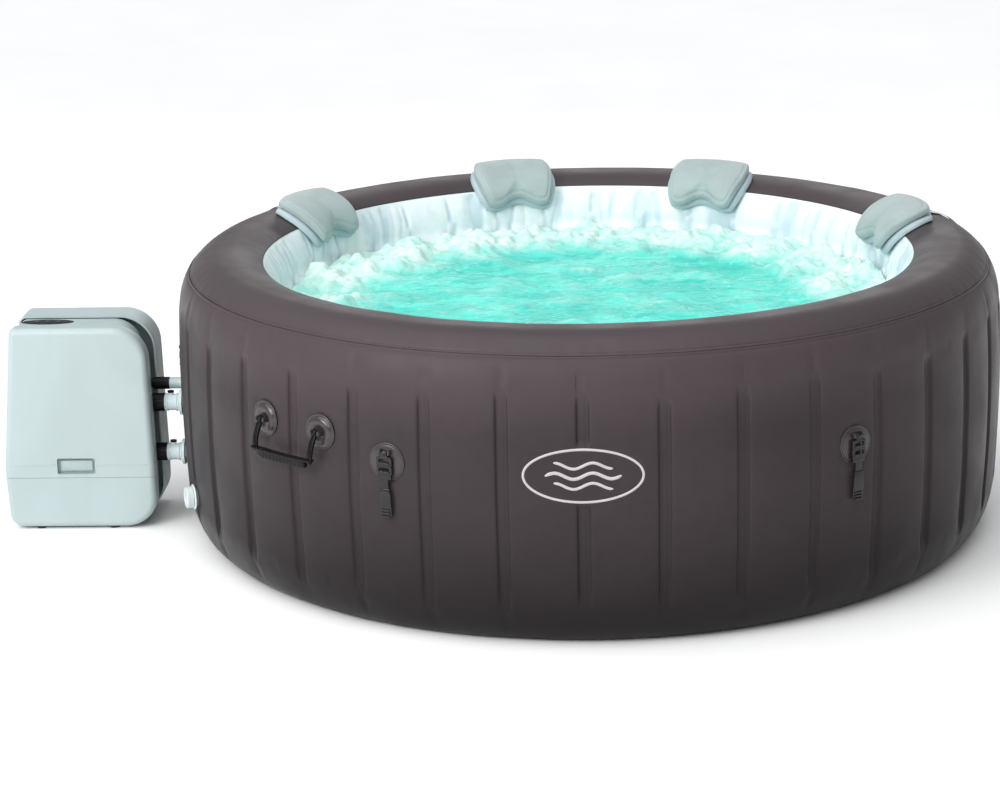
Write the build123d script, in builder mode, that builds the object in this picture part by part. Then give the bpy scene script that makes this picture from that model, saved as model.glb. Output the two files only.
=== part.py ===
from build123d import *

import os
from math import cos, radians, sin

# Round inflatable hot tub with its pump and heater unit standing beside it. Millimetres, +Z up.
# The origin is the middle of the tub's underside on the ground. The front faces -Y, and the pump
# unit stands on the -X side.

# --- Tub: the air ring's cross-section ------------------------------------------------------------
TUB_RADIUS = 980.0
TUB_HEIGHT = 683.0
WALL_BULGE = 6.6
BASIN_RADIUS = 739.0
OUT_CORNER_R, OUT_CORNER_Z = 102.0, 129.0
IN_CORNER_R, IN_CORNER_Z = 124.0, 103.0
LOW_CORNER_R, LOW_CORNER_Z = 77.0, 138.0
SKIN = 3.0
RING_SEAM_Z = 640.0
COLOUR_SEAM_Z = 655.0
REGION_MARGIN = 20.0
MAX_RADIUS = TUB_RADIUS + WALL_BULGE

# --- Tub: what the air ring holds -----------------------------------------------------------------
WEB_COUNT = 36
WEB_THICK = 1.5
WEB_INNER, WEB_OUTER = 744.0, 964.0
WEB_FOOT, WEB_TOP = 70.0, 572.0
WEB_PIPE_GAP, WEB_PIPE_MARGIN, WEB_VALVE_DEPTH = 6.0, 40.0, 60.0
CHANNEL_WIDTH, CHANNEL_HEIGHT, CHANNEL_WALL = 34.0, 20.0, 5.0
CHANNEL_EDGE, CHANNEL_HOLLOW_EDGE, CHANNEL_GAP = 6.0, 3.0, 0.3
AIR_HOLE_RADIUS, AIR_HOLE_COUNT = 2.0, 48

# --- Handles: two, at opposite sides --------------------------------------------------------------
HANDLE_ANGLES = (-130.0, 50.0)
HANDLE_Z = 440.0
HANDLE_HALF_ANGLE = 5.0
HANDLE_PATCH_RADIUS = 40.0
HANDLE_PIN_OUT = 12.0
HANDLE_PIN_RADIUS = 3.0
GRIP_DROP, GRIP_OUT, GRIP_HALF_SPAN = 64.0, 32.0, 84.0
GRIP_ARM_THICK, GRIP_ARM_EDGE = 8.0, 3.0
GRIP_BAR_THICK, GRIP_BAR_HEIGHT, GRIP_BAR_EDGE, GRIP_BAR_OVERHANG = 18.0, 24.0, 7.0, 8.0
HANDLE_PATCH_HEIGHT = 5.0
EYE_WIDTH, EYE_WALL = 14.0, 4.0
HANDLE_CHEEK, HANDLE_LUG_CLEARANCE, HANDLE_SINK_LESS = 4.0, 1.8, 1.0

# --- Cover clips: six, about evenly spaced --------------------------------------------------------
CLIP_ANGLES = (-115.0, -54.0, 5.0, 65.0, 125.0, 179.5)
CLIP_Z = 398.0
CLIP_PATCH_RADIUS = 42.0
CLIP_PIN_UP, CLIP_PIN_OUT, CLIP_PIN_RADIUS = 22.0, 10.0, 2.5
CLIP_PATCH_HEIGHT = 4.0
CLIP_EYE, CLIP_EYE_WALL, CLIP_CHEEK = 16.0, 3.0, 3.5
CLIP_THICK = 6.0
CLIP_FRAME_WIDTH, CLIP_FRAME_TOP, CLIP_FRAME_LOW, CLIP_FRAME_EDGE = 38.0, 14.0, -36.0, 7.0
CLIP_NECK_WIDTH, CLIP_NECK_LENGTH = 18.0, 30.0
CLIP_TAB_WIDTH, CLIP_TAB_TOP, CLIP_TAB_LOW, CLIP_TAB_EDGE = 30.0, -58.0, -122.0, 5.0
CLIP_SLOT_WIDTH, CLIP_SLOT_HEIGHT, CLIP_SLOT_EDGE = 22.0, 9.0, 3.0
CLIP_SLOT_ZS = (-2.0, -20.0)
CLIP_LUG_CLEARANCE = 1.0
LUG_WALL, LUG_TOP = 3.0, 2.0
DOME_SHOULDER, DOME_TAPER = 3.0, 50.0

# --- Valves in the wall ---------------------------------------------------------------------------
DRAIN_ANGLE, DRAIN_Z = -159.5, 147.0
INFLATE_ANGLE, INFLATE_Z = 151.0, 400.0
DRAIN_NECK, DRAIN_FLANGE, DRAIN_SPIGOT, DRAIN_BORE = 22.0, 30.0, 21.0, 15.0
INFLATE_NECK, INFLATE_FLANGE, INFLATE_SPIGOT, INFLATE_BORE = 20.0, 34.0, 19.0, 14.0
NECK_REACH = 26.0
NECK_GAP = 0.3
WALL_CUT = 30.0
FLANGE_HEIGHT, SPIGOT_HEIGHT = 4.0, 12.0
CAP_WALL, CAP_TOP, CAP_LIFT, CAP_DEPTH = 4.0, 3.5, 0.5, 16.0
CAP_EDGE = 2.5
STEM_RADIUS, STEM_LENGTH, STEM_FOOT = 5.0, 36.0, -31.0
STEM_DISC_RADIUS, STEM_DISC_THICK = 12.0, 3.0
SPIDER_Z, SPIDER_THICK = -18.0, 4.0
SPIDER_HOLE_RADIUS, SPIDER_HOLE_PITCH, SPIDER_HOLES = 2.6, 10.0, 4

# --- Headrests ------------------------------------------------------------------------------------
HEADREST_ANGLES = (152.0, 105.5, 66.5, 15.5)
HEADREST_WIDTH_ANGLE = 17.6
HEADREST_LOW, HEADREST_OVER = 15.0, 10.0
BASE_GAP, BASE_THICK = 1.0, 15.0
PAD_GAP, PAD_THICK = 0.4, 24.0
PAD_INSET_ANGLE, PAD_INSET = 1.0, 2.0
SCOOP_HALF_WIDTH, SCOOP_HALF_HEIGHT, SCOOP_LIFT = 52.0, 34.0, 12.0

# --- Pump unit: outline seen from the front, and its depth ----------------------------------------
PUMP_LEFT, PUMP_RIGHT = -1418.0, -1052.0
PUMP_TOP, PUMP_FOOT = 503.0, 5.0
PUMP_LEFT_TOP, PUMP_LEFT_FOOT = -1385.0, -1411.0
PUMP_WAIST_Z = 150.0
PUMP_FRONT, CORE_FRONT, CORE_REAR, PUMP_REAR = -142.0, -100.0, -15.0, 98.0
SHELL_WALL = 4.0
SHELL_GAP = 0.4
COVER_SEAM_Z = 132.0
CORE_INSET = 6.0
CORE_SIDE_INSET = 30.0
CORE_WALL = 6.0

# --- Couplings between the pump and the tub, all along X ------------------------------------------
# The water pair lies one above the other; the air coupling is a little higher and further back.
WATER_Y, AIR_Y = -66.0, -32.0
WATER_IN_Z, WATER_OUT_Z, AIR_Z = 174.0, 299.0, 338.0
WATER_STUB_RADIUS, WATER_BORE = 18.0, 14.0
AIR_STUB_RADIUS, AIR_BORE = 11.0, 8.0
RUNNING_GAP = 0.06
STUB_START, WATER_STUB_END, AIR_STUB_END = -1112.0, -1031.0, -1023.0
NUT_START = -1062.0
LEVER_X = -1016.0
WALL_FACE = -(MAX_RADIUS + 0.4)

# --- Display and buttons --------------------------------------------------------------------------
DISPLAY_X, DISPLAY_Y = -1308.0, -46.0
DISPLAY_LENGTH, DISPLAY_DEPTH = 126.0, 46.0
BUTTON_RADIUS = 6.0
BUTTON_PITCH = 26.0
BUTTON_NAMES = ("power", "heat", "bubbles")

os.makedirs("parts", exist_ok=True)


def save(builder, name):
    """Label a finished piece and write it to its own file."""
    builder.part.label = name
    export_step(builder.part, f"parts/{name}.step")


def wall_plane(angle, height, radius=MAX_RADIUS + 0.4):
    """Plane against the outer wall: x runs round the wall, y is up and z points outward."""
    a = radians(angle)
    return Plane(
        origin=(radius * cos(a), radius * sin(a), height),
        x_dir=(-sin(a), cos(a), 0),
        z_dir=(cos(a), sin(a), 0),
    )


def coupling_plane(x, z, y):
    """Plane across a coupling's axis at x, with its normal towards the tub."""
    return Plane(origin=(x, y, z), x_dir=(0, 1, 0), z_dir=(1, 0, 0))


def ring_outline(inset):
    """Draw the air ring's cross-section the given distance inside its outer face."""
    outer = TUB_RADIUS - inset
    inner = BASIN_RADIUS + inset
    low = (TUB_RADIUS - LOW_CORNER_R, LOW_CORNER_Z)
    top_out = (TUB_RADIUS - OUT_CORNER_R, TUB_HEIGHT - OUT_CORNER_Z)
    top_in = (BASIN_RADIUS + IN_CORNER_R, TUB_HEIGHT - IN_CORNER_Z)
    middle = (low[1] + top_out[1]) / 2
    Line((inner, inset), (low[0], inset))
    EllipticalCenterArc(low, LOW_CORNER_R - inset, LOW_CORNER_Z - inset, 270, arc_size=90)
    ThreePointArc((outer, low[1]), (outer + WALL_BULGE, middle), (outer, top_out[1]))
    EllipticalCenterArc(top_out, OUT_CORNER_R - inset, OUT_CORNER_Z - inset, 0, arc_size=90)
    Line((top_out[0], TUB_HEIGHT - inset), (top_in[0], TUB_HEIGHT - inset))
    EllipticalCenterArc(top_in, IN_CORNER_R - inset, IN_CORNER_Z - inset, 90, arc_size=90)
    Line((inner, top_in[1]), (inner, inset))


def cut_across_wall(planes_and_radii):
    """Cut a round hole right through the part on each plane."""
    for plane, radius in planes_and_radii:
        with BuildSketch(plane) as hole:
            Circle(radius)
        extrude(hole.sketch, amount=WALL_CUT, both=True, mode=Mode.SUBTRACT)


OUTER_HOLES = [
    (coupling_plane(-TUB_RADIUS, WATER_IN_Z, WATER_Y), WATER_STUB_RADIUS + NECK_GAP),
    (coupling_plane(-TUB_RADIUS, WATER_OUT_Z, WATER_Y), WATER_STUB_RADIUS + NECK_GAP),
    (coupling_plane(-TUB_RADIUS, AIR_Z, AIR_Y), AIR_STUB_RADIUS + NECK_GAP),
    (wall_plane(DRAIN_ANGLE, DRAIN_Z), DRAIN_NECK + NECK_GAP),
    (wall_plane(INFLATE_ANGLE, INFLATE_Z), INFLATE_NECK + NECK_GAP),
]
INNER_HOLES = [
    (coupling_plane(-BASIN_RADIUS, WATER_IN_Z, WATER_Y), WATER_STUB_RADIUS + NECK_GAP),
    (coupling_plane(-BASIN_RADIUS, WATER_OUT_Z, WATER_Y), WATER_STUB_RADIUS + NECK_GAP),
]


def ring_skin(region, holes=()):
    """The stretch of the air ring's vinyl skin that lies inside the region, given as (r, z) points."""
    with BuildPart() as skin:
        with BuildSketch(Plane.XZ):
            with BuildLine():
                ring_outline(0)
            make_face()
            with BuildLine():
                ring_outline(SKIN)
            make_face(mode=Mode.SUBTRACT)
            with BuildLine():
                Polyline(*region, close=True)
            make_face(mode=Mode.INTERSECT)
        revolve(axis=Axis.Z)
        cut_across_wall(holes)
    return skin


# --- Tub shell ------------------------------------------------------------------------------------
far = MAX_RADIUS + REGION_MARGIN
near = BASIN_RADIUS - REGION_MARGIN
between = (BASIN_RADIUS + IN_CORNER_R + TUB_RADIUS - OUT_CORNER_R) / 2
low_start = TUB_RADIUS - LOW_CORNER_R
over = TUB_HEIGHT + REGION_MARGIN

outer_wall = ring_skin(
    [(low_start, 0), (far, 0), (far, RING_SEAM_Z), (low_start, RING_SEAM_Z)], OUTER_HOLES
)
save(outer_wall, "outer_wall")

top_ring = ring_skin(
    [
        (near, COLOUR_SEAM_Z),
        (between, COLOUR_SEAM_Z),
        (between, RING_SEAM_Z),
        (far, RING_SEAM_Z),
        (far, over),
        (near, over),
    ]
)
save(top_ring, "top_ring")

inner_wall = ring_skin(
    [(near, SKIN), (between, SKIN), (between, COLOUR_SEAM_Z), (near, COLOUR_SEAM_Z)], INNER_HOLES
)
save(inner_wall, "inner_wall")

with BuildPart() as ground_skin:
    with BuildSketch():
        Circle(low_start)
    extrude(amount=SKIN)
save(ground_skin, "ground_skin")

with BuildPart() as basin_floor:
    with BuildSketch(Plane.XY.offset(SKIN)):
        Circle(BASIN_RADIUS)
    extrude(amount=SKIN)
save(basin_floor, "basin_floor")

# Webs stand inside the air ring, one behind each weld groove, with room cut for the pipes.
with BuildPart() as web_beams:
    with BuildSketch(Plane.XY.offset(WEB_FOOT)):
        with PolarLocations((WEB_INNER + WEB_OUTER) / 2, WEB_COUNT):
            Rectangle(WEB_OUTER - WEB_INNER, WEB_THICK)
    extrude(amount=WEB_TOP - WEB_FOOT)
    for pipe_y, pipe_z in ((WATER_Y, WATER_IN_Z), (WATER_Y, WATER_OUT_Z), (AIR_Y, AIR_Z)):
        with BuildSketch(coupling_plane(-TUB_RADIUS, pipe_z, pipe_y)):
            Circle(WATER_STUB_RADIUS + WEB_PIPE_GAP)
        extrude(amount=TUB_RADIUS - BASIN_RADIUS + WEB_PIPE_MARGIN, both=True, mode=Mode.SUBTRACT)
    with BuildSketch(wall_plane(DRAIN_ANGLE, DRAIN_Z)):
        Circle(DRAIN_NECK + WEB_PIPE_GAP)
    extrude(amount=-WEB_VALVE_DEPTH, mode=Mode.SUBTRACT)
    with BuildSketch(wall_plane(INFLATE_ANGLE, INFLATE_Z)):
        Circle(INFLATE_NECK + WEB_PIPE_GAP)
    extrude(amount=-WEB_VALVE_DEPTH, mode=Mode.SUBTRACT)
save(web_beams, "web_beams")

# The air channel is a hollow band on the basin floor, with bubble holes in its top.
channel_mid = BASIN_RADIUS - CHANNEL_GAP - CHANNEL_WIDTH / 2
channel_z = 2 * SKIN + CHANNEL_HEIGHT / 2
with BuildPart() as air_channel:
    with BuildSketch(Plane.XZ):
        with Locations((channel_mid, channel_z)):
            RectangleRounded(CHANNEL_WIDTH, CHANNEL_HEIGHT, CHANNEL_EDGE)
            RectangleRounded(
                CHANNEL_WIDTH - 2 * CHANNEL_WALL,
                CHANNEL_HEIGHT - 2 * CHANNEL_WALL,
                CHANNEL_HOLLOW_EDGE,
                mode=Mode.SUBTRACT,
            )
    revolve(axis=Axis.Z)
    with BuildSketch(Plane.XY.offset(channel_z)):
        with PolarLocations(channel_mid, AIR_HOLE_COUNT, start_angle=180 / AIR_HOLE_COUNT):
            Circle(AIR_HOLE_RADIUS)
    extrude(amount=CHANNEL_HEIGHT, mode=Mode.SUBTRACT)
save(air_channel, "air_channel")


# --- Handles --------------------------------------------------------------------------------------
def add_lug(plane, across, up, pin_out, pin_radius, width, cheek, sink):
    """Two cheeks with a pin between them, starting a given depth below the plane."""
    reach = pin_out + pin_radius + LUG_TOP
    for side in (-1, 1):
        with BuildSketch(plane.offset(-sink)) as cheek_shape:
            with Locations((across + side * (width + cheek) / 2, up)):
                Rectangle(cheek, 2 * (pin_radius + LUG_WALL))
        extrude(cheek_shape.sketch, amount=reach + sink)
    pin = Plane(plane.from_local_coords((across, up, pin_out)), x_dir=plane.z_dir, z_dir=plane.x_dir)
    with BuildSketch(pin) as pin_shape:
        Circle(pin_radius)
    extrude(pin_shape.sketch, amount=width / 2 + cheek, both=True)


def domed_patch(plane, radius, height):
    """A round vinyl patch with a rounded shoulder, welded to the wall."""
    with BuildSketch(plane) as foot:
        Circle(radius)
    extrude(foot.sketch, amount=height / 2)
    with BuildSketch(plane.offset(height / 2)) as dome:
        Circle(radius - DOME_SHOULDER)
    extrude(dome.sketch, amount=height / 2, taper=DOME_TAPER)


handle_span = MAX_RADIUS * sin(radians(HANDLE_HALF_ANGLE))
handle_sink = MAX_RADIUS * (1 - cos(radians(HANDLE_HALF_ANGLE))) - HANDLE_SINK_LESS

with BuildPart() as handle_patches:
    for handle_angle in HANDLE_ANGLES:
        for side in (-1, 1):
            patch_plane = wall_plane(handle_angle + side * HANDLE_HALF_ANGLE, HANDLE_Z)
            domed_patch(patch_plane, HANDLE_PATCH_RADIUS, HANDLE_PATCH_HEIGHT)
            add_lug(
                wall_plane(handle_angle, HANDLE_Z),
                side * handle_span,
                0,
                HANDLE_PIN_OUT,
                HANDLE_PIN_RADIUS,
                EYE_WIDTH + 2 * HANDLE_LUG_CLEARANCE,
                HANDLE_CHEEK,
                handle_sink,
            )
save(handle_patches, "handle_patches")


def handle_grip(angle):
    """A moulded strap grip: two arms hanging from the pins, joined by a thick bar."""
    plane = wall_plane(angle, HANDLE_Z)
    pin_middle = plane.from_local_coords((0, 0, HANDLE_PIN_OUT))
    pin_plane = Plane(pin_middle, x_dir=plane.z_dir, z_dir=plane.x_dir)
    bar_middle = plane.from_local_coords((0, -GRIP_DROP, GRIP_OUT))
    bar_plane = Plane(bar_middle, x_dir=plane.z_dir, z_dir=plane.x_dir)
    with BuildPart() as grip:
        for side in (-1, 1):
            start = plane.from_local_coords((side * handle_span, 0, HANDLE_PIN_OUT))
            end = plane.from_local_coords((side * GRIP_HALF_SPAN, -GRIP_DROP, GRIP_OUT))
            direction = Vector(end) - Vector(start)
            with BuildSketch(Plane(start, x_dir=plane.x_dir, z_dir=direction)):
                RectangleRounded(EYE_WIDTH, GRIP_ARM_THICK, GRIP_ARM_EDGE)
            extrude(amount=direction.length)
            with BuildSketch(pin_plane.offset(side * handle_span - EYE_WIDTH / 2)):
                Circle(HANDLE_PIN_RADIUS + EYE_WALL)
            extrude(amount=EYE_WIDTH)
        with BuildSketch(bar_plane):
            RectangleRounded(GRIP_BAR_THICK, GRIP_BAR_HEIGHT, GRIP_BAR_EDGE)
        extrude(amount=GRIP_HALF_SPAN + GRIP_BAR_OVERHANG, both=True)
        with BuildSketch(pin_plane):
            Circle(HANDLE_PIN_RADIUS + RUNNING_GAP)
        extrude(amount=handle_span + EYE_WIDTH, both=True, mode=Mode.SUBTRACT)
    return grip


save(handle_grip(HANDLE_ANGLES[0]), "handle_grip_front")
save(handle_grip(HANDLE_ANGLES[1]), "handle_grip_back")

# --- Cover clips ----------------------------------------------------------------------------------
with BuildPart() as clip_patches:
    for clip_angle in CLIP_ANGLES:
        clip_plane = wall_plane(clip_angle, CLIP_Z)
        domed_patch(clip_plane, CLIP_PATCH_RADIUS, CLIP_PATCH_HEIGHT)
        add_lug(
            clip_plane,
            0,
            CLIP_PIN_UP,
            CLIP_PIN_OUT,
            CLIP_PIN_RADIUS,
            CLIP_EYE + 2 * CLIP_LUG_CLEARANCE,
            CLIP_CHEEK,
            0,
        )
save(clip_patches, "clip_patches")


def cover_clip(angle):
    """A moulded clip hanging from its pin: a frame with two recesses, a neck and a pull tab."""
    plane = wall_plane(angle, CLIP_Z)
    back = CLIP_PIN_OUT - CLIP_THICK / 2
    pin_middle = plane.from_local_coords((0, CLIP_PIN_UP, CLIP_PIN_OUT))
    pin_plane = Plane(pin_middle, x_dir=plane.z_dir, z_dir=plane.x_dir)
    with BuildPart() as clip:
        with BuildSketch(plane.offset(back)):
            with Locations((0, (CLIP_FRAME_TOP + CLIP_FRAME_LOW) / 2)):
                RectangleRounded(CLIP_FRAME_WIDTH, CLIP_FRAME_TOP - CLIP_FRAME_LOW, CLIP_FRAME_EDGE)
            with Locations((0, (CLIP_FRAME_LOW + CLIP_TAB_TOP) / 2)):
                Rectangle(CLIP_NECK_WIDTH, CLIP_NECK_LENGTH)
            with Locations((0, (CLIP_TAB_TOP + CLIP_TAB_LOW) / 2)):
                RectangleRounded(CLIP_TAB_WIDTH, CLIP_TAB_TOP - CLIP_TAB_LOW, CLIP_TAB_EDGE)
            with Locations((0, CLIP_FRAME_TOP)):
                Rectangle(CLIP_EYE, CLIP_THICK + 2 * CLIP_FRAME_EDGE)
        extrude(amount=CLIP_THICK)
        with BuildSketch(plane.offset(back + CLIP_THICK / 2)):
            with Locations(*[(0, slot_z) for slot_z in CLIP_SLOT_ZS]):
                RectangleRounded(CLIP_SLOT_WIDTH, CLIP_SLOT_HEIGHT, CLIP_SLOT_EDGE)
        extrude(amount=CLIP_THICK, mode=Mode.SUBTRACT)
        with BuildSketch(pin_plane):
            Circle(CLIP_PIN_RADIUS + CLIP_EYE_WALL)
        extrude(amount=CLIP_EYE / 2, both=True)
        with BuildSketch(pin_plane):
            Circle(CLIP_PIN_RADIUS + RUNNING_GAP)
        extrude(amount=CLIP_EYE, both=True, mode=Mode.SUBTRACT)
    return clip


for clip_number, clip_angle in enumerate(CLIP_ANGLES, start=1):
    save(cover_clip(clip_angle), f"cover_clip_{clip_number}")


# --- Drain and inflation valves -------------------------------------------------------------------
def valve_body(plane, neck, flange, spigot, bore):
    """A flanged valve body: neck through the wall, spigot outside, bored through."""
    with BuildPart() as body:
        with BuildSketch(plane):
            Circle(flange)
        extrude(amount=FLANGE_HEIGHT)
        with BuildSketch(plane):
            Circle(neck)
        extrude(amount=-NECK_REACH)
        with BuildSketch(plane.offset(FLANGE_HEIGHT)):
            Circle(spigot)
        extrude(amount=SPIGOT_HEIGHT)
        with BuildSketch(plane.offset(-NECK_REACH)):
            Circle(bore)
        extrude(amount=NECK_REACH + FLANGE_HEIGHT + SPIGOT_HEIGHT, mode=Mode.SUBTRACT)
    return body


def screw_cap(plane, spigot):
    """A cup that turns on a valve's spigot."""
    with BuildPart() as cap:
        with BuildSketch(plane.offset(FLANGE_HEIGHT + CAP_LIFT)):
            Circle(spigot + CAP_WALL)
        extrude(amount=CAP_DEPTH)
        with BuildSketch(plane.offset(FLANGE_HEIGHT + CAP_LIFT)):
            Circle(spigot + RUNNING_GAP)
        extrude(amount=CAP_DEPTH - CAP_TOP, mode=Mode.SUBTRACT)
        fillet(cap.faces().sort_by(Axis(plane.origin, plane.z_dir))[-1].edges(), CAP_EDGE)
    return cap


drain_plane = wall_plane(DRAIN_ANGLE, DRAIN_Z)
save(valve_body(drain_plane, DRAIN_NECK, DRAIN_FLANGE, DRAIN_SPIGOT, DRAIN_BORE), "drain_valve")
save(screw_cap(drain_plane, DRAIN_SPIGOT), "drain_cap")

inflate_plane = wall_plane(INFLATE_ANGLE, INFLATE_Z)
inflate_body = valve_body(
    inflate_plane, INFLATE_NECK, INFLATE_FLANGE, INFLATE_SPIGOT, INFLATE_BORE
)
with BuildPart() as inflation_valve:
    add(inflate_body.part)
    with BuildSketch(inflate_plane.offset(SPIDER_Z)):
        Circle(INFLATE_BORE + NECK_GAP)
        Circle(STEM_RADIUS + RUNNING_GAP, mode=Mode.SUBTRACT)
        with PolarLocations(SPIDER_HOLE_PITCH, SPIDER_HOLES, start_angle=45):
            Circle(SPIDER_HOLE_RADIUS, mode=Mode.SUBTRACT)
    extrude(amount=SPIDER_THICK)
save(inflation_valve, "inflation_valve")

with BuildPart() as inflation_stem:
    with BuildSketch(inflate_plane.offset(STEM_FOOT - STEM_DISC_THICK)):
        Circle(STEM_DISC_RADIUS)
    extrude(amount=STEM_DISC_THICK)
    with BuildSketch(inflate_plane.offset(STEM_FOOT)):
        Circle(STEM_RADIUS)
    extrude(amount=STEM_LENGTH)
save(inflation_stem, "inflation_stem")

save(screw_cap(inflate_plane, INFLATE_SPIGOT), "inflation_cap")


# --- Headrests ------------------------------------------------------------------------------------
def rim_arc(gap, low):
    """The rim's inner corner drawn a gap outside it, from its top down to low degrees above level."""
    centre = (BASIN_RADIUS + IN_CORNER_R, TUB_HEIGHT - IN_CORNER_Z)
    return EllipticalCenterArc(centre, IN_CORNER_R + gap, IN_CORNER_Z + gap, 90, arc_size=90 - low)


def headrest_layer(angle, inner_gap, outer_gap, inset_angle, inset):
    """One layer of a headrest: a band bent over the rim, with a scooped lower edge."""
    turn = HEADREST_WIDTH_ANGLE - inset_angle
    start = radians(angle - turn / 2)
    middle = radians(angle)
    top_r = BASIN_RADIUS + IN_CORNER_R + HEADREST_OVER - inset
    low = HEADREST_LOW + inset_angle
    first = Plane(
        origin=(0, 0, 0), x_dir=(cos(start), sin(start), 0), z_dir=(sin(start), -cos(start), 0)
    )
    scoop = Plane(
        origin=(0, 0, TUB_HEIGHT - IN_CORNER_Z + SCOOP_LIFT),
        x_dir=(-sin(middle), cos(middle), 0),
        z_dir=(cos(middle), sin(middle), 0),
    )
    with BuildPart() as layer:
        with BuildSketch(first):
            with BuildLine():
                inner = rim_arc(inner_gap, low)
                outer = rim_arc(outer_gap, low)
                Polyline(
                    inner @ 0,
                    (top_r, TUB_HEIGHT + inner_gap),
                    (top_r, TUB_HEIGHT + outer_gap),
                    outer @ 0,
                )
                Line(inner @ 1, outer @ 1)
            make_face()
        revolve(axis=Axis.Z, revolution_arc=turn)
        with BuildSketch(scoop):
            Ellipse(SCOOP_HALF_WIDTH, SCOOP_HALF_HEIGHT)
        extrude(amount=BASIN_RADIUS + IN_CORNER_R, mode=Mode.SUBTRACT)
    return layer


for headrest_number, headrest_angle in enumerate(HEADREST_ANGLES, start=1):
    base = headrest_layer(headrest_angle, BASE_GAP, BASE_GAP + BASE_THICK, 0, 0)
    save(base, f"headrest_base_{headrest_number}")
    pad_gap = BASE_GAP + BASE_THICK + PAD_GAP
    pad = headrest_layer(headrest_angle, pad_gap, pad_gap + PAD_THICK, PAD_INSET_ANGLE, PAD_INSET)
    save(pad, f"headrest_pad_{headrest_number}")


# --- Pump unit casing -----------------------------------------------------------------------------
def pump_plane(y):
    """Upright plane across the pump unit at y, x to the right and y up, facing the front."""
    return Plane(origin=(0, y, 0), x_dir=(1, 0, 0), z_dir=(0, -1, 0))


CASING_TOP_LEAN = 7.0
CASING_RADII = [18, 120, 34, 76, 120, 84]
CORE_RADII = [16, 100, 30, 60, 100, 66]
CORE_FOOT_LIFT = 3.0


def casing_outline():
    """Outline of the two casing shells seen from the front."""
    FilletPolyline(
        (PUMP_LEFT_TOP, PUMP_TOP),
        (PUMP_LEFT, PUMP_WAIST_Z),
        (PUMP_LEFT_FOOT, PUMP_FOOT),
        (PUMP_RIGHT, PUMP_FOOT),
        (PUMP_RIGHT, PUMP_WAIST_Z),
        (PUMP_RIGHT - CASING_TOP_LEAN, PUMP_TOP),
        radius=CASING_RADII,
        close=True,
    )


def core_outline():
    """Outline of the core frame, set in from the shells, most of all on the tub's side."""
    FilletPolyline(
        (PUMP_LEFT_TOP + CORE_INSET, PUMP_TOP - CORE_INSET),
        (PUMP_LEFT + 2 * CORE_INSET, PUMP_WAIST_Z),
        (PUMP_LEFT_FOOT + 2 * CORE_INSET, PUMP_FOOT + CORE_FOOT_LIFT),
        (PUMP_RIGHT - CORE_SIDE_INSET, PUMP_FOOT + CORE_FOOT_LIFT),
        (PUMP_RIGHT - CORE_SIDE_INSET, PUMP_WAIST_Z),
        (PUMP_RIGHT - CORE_SIDE_INSET - CASING_TOP_LEAN, PUMP_TOP - CORE_INSET),
        radius=CORE_RADII,
        close=True,
    )


def casing_tray(open_y, closed_y, inset, edge):
    """A solid tray shape inside the casing outline, with its closed face's rim rounded."""
    depth = open_y - closed_y
    with BuildPart() as tray:
        with BuildSketch(pump_plane(open_y)):
            with BuildLine():
                casing_outline()
            make_face()
            if inset:
                offset(amount=-inset, mode=Mode.REPLACE)
        extrude(amount=depth)
        fillet(tray.faces().sort_by(Axis.Y)[0 if depth > 0 else -1].edges(), edge)
    return tray.part


def casing_shell(open_y, closed_y, edge):
    """Half of the casing: a thin-walled tray, open at its mouth."""
    inner_y = closed_y + (SHELL_WALL if open_y > closed_y else -SHELL_WALL)
    with BuildPart() as shell:
        add(casing_tray(open_y, closed_y, 0, edge))
        add(casing_tray(open_y, inner_y, SHELL_WALL, edge - SHELL_WALL), mode=Mode.SUBTRACT)
    return shell


GRIP_POCKET_X, GRIP_POCKET_Z = -1242.0, 161.0
GRIP_POCKET_WIDTH, GRIP_POCKET_HEIGHT, GRIP_POCKET_DEPTH = 92.0, 40.0, 15.0
POCKET_FLOOR, POCKET_MARGIN, POCKET_EDGE = 3.0, 8.0, 5.0
FRONT_EDGE, REAR_EDGE = 16.0, 26.0
front_half = casing_shell(CORE_FRONT - SHELL_GAP, PUMP_FRONT, FRONT_EDGE)

with BuildPart() as front_shell:
    add(front_half.part)
    with BuildSketch(pump_plane(PUMP_FRONT + GRIP_POCKET_DEPTH + POCKET_FLOOR)):
        with Locations((GRIP_POCKET_X, GRIP_POCKET_Z)):
            Rectangle(GRIP_POCKET_WIDTH + POCKET_MARGIN, GRIP_POCKET_HEIGHT + POCKET_MARGIN)
    extrude(amount=GRIP_POCKET_DEPTH)
    with BuildSketch(pump_plane(PUMP_FRONT)):
        with Locations((GRIP_POCKET_X, GRIP_POCKET_Z)):
            RectangleRounded(GRIP_POCKET_WIDTH, GRIP_POCKET_HEIGHT, POCKET_EDGE)
    extrude(amount=-GRIP_POCKET_DEPTH, mode=Mode.SUBTRACT)
    split(bisect_by=Plane.XY.offset(COVER_SEAM_Z + SHELL_GAP), keep=Keep.TOP)
save(front_shell, "front_shell")

with BuildPart() as lower_cover:
    add(front_half.part)
    split(bisect_by=Plane.XY.offset(COVER_SEAM_Z - SHELL_GAP), keep=Keep.BOTTOM)
save(lower_cover, "lower_cover")

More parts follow.
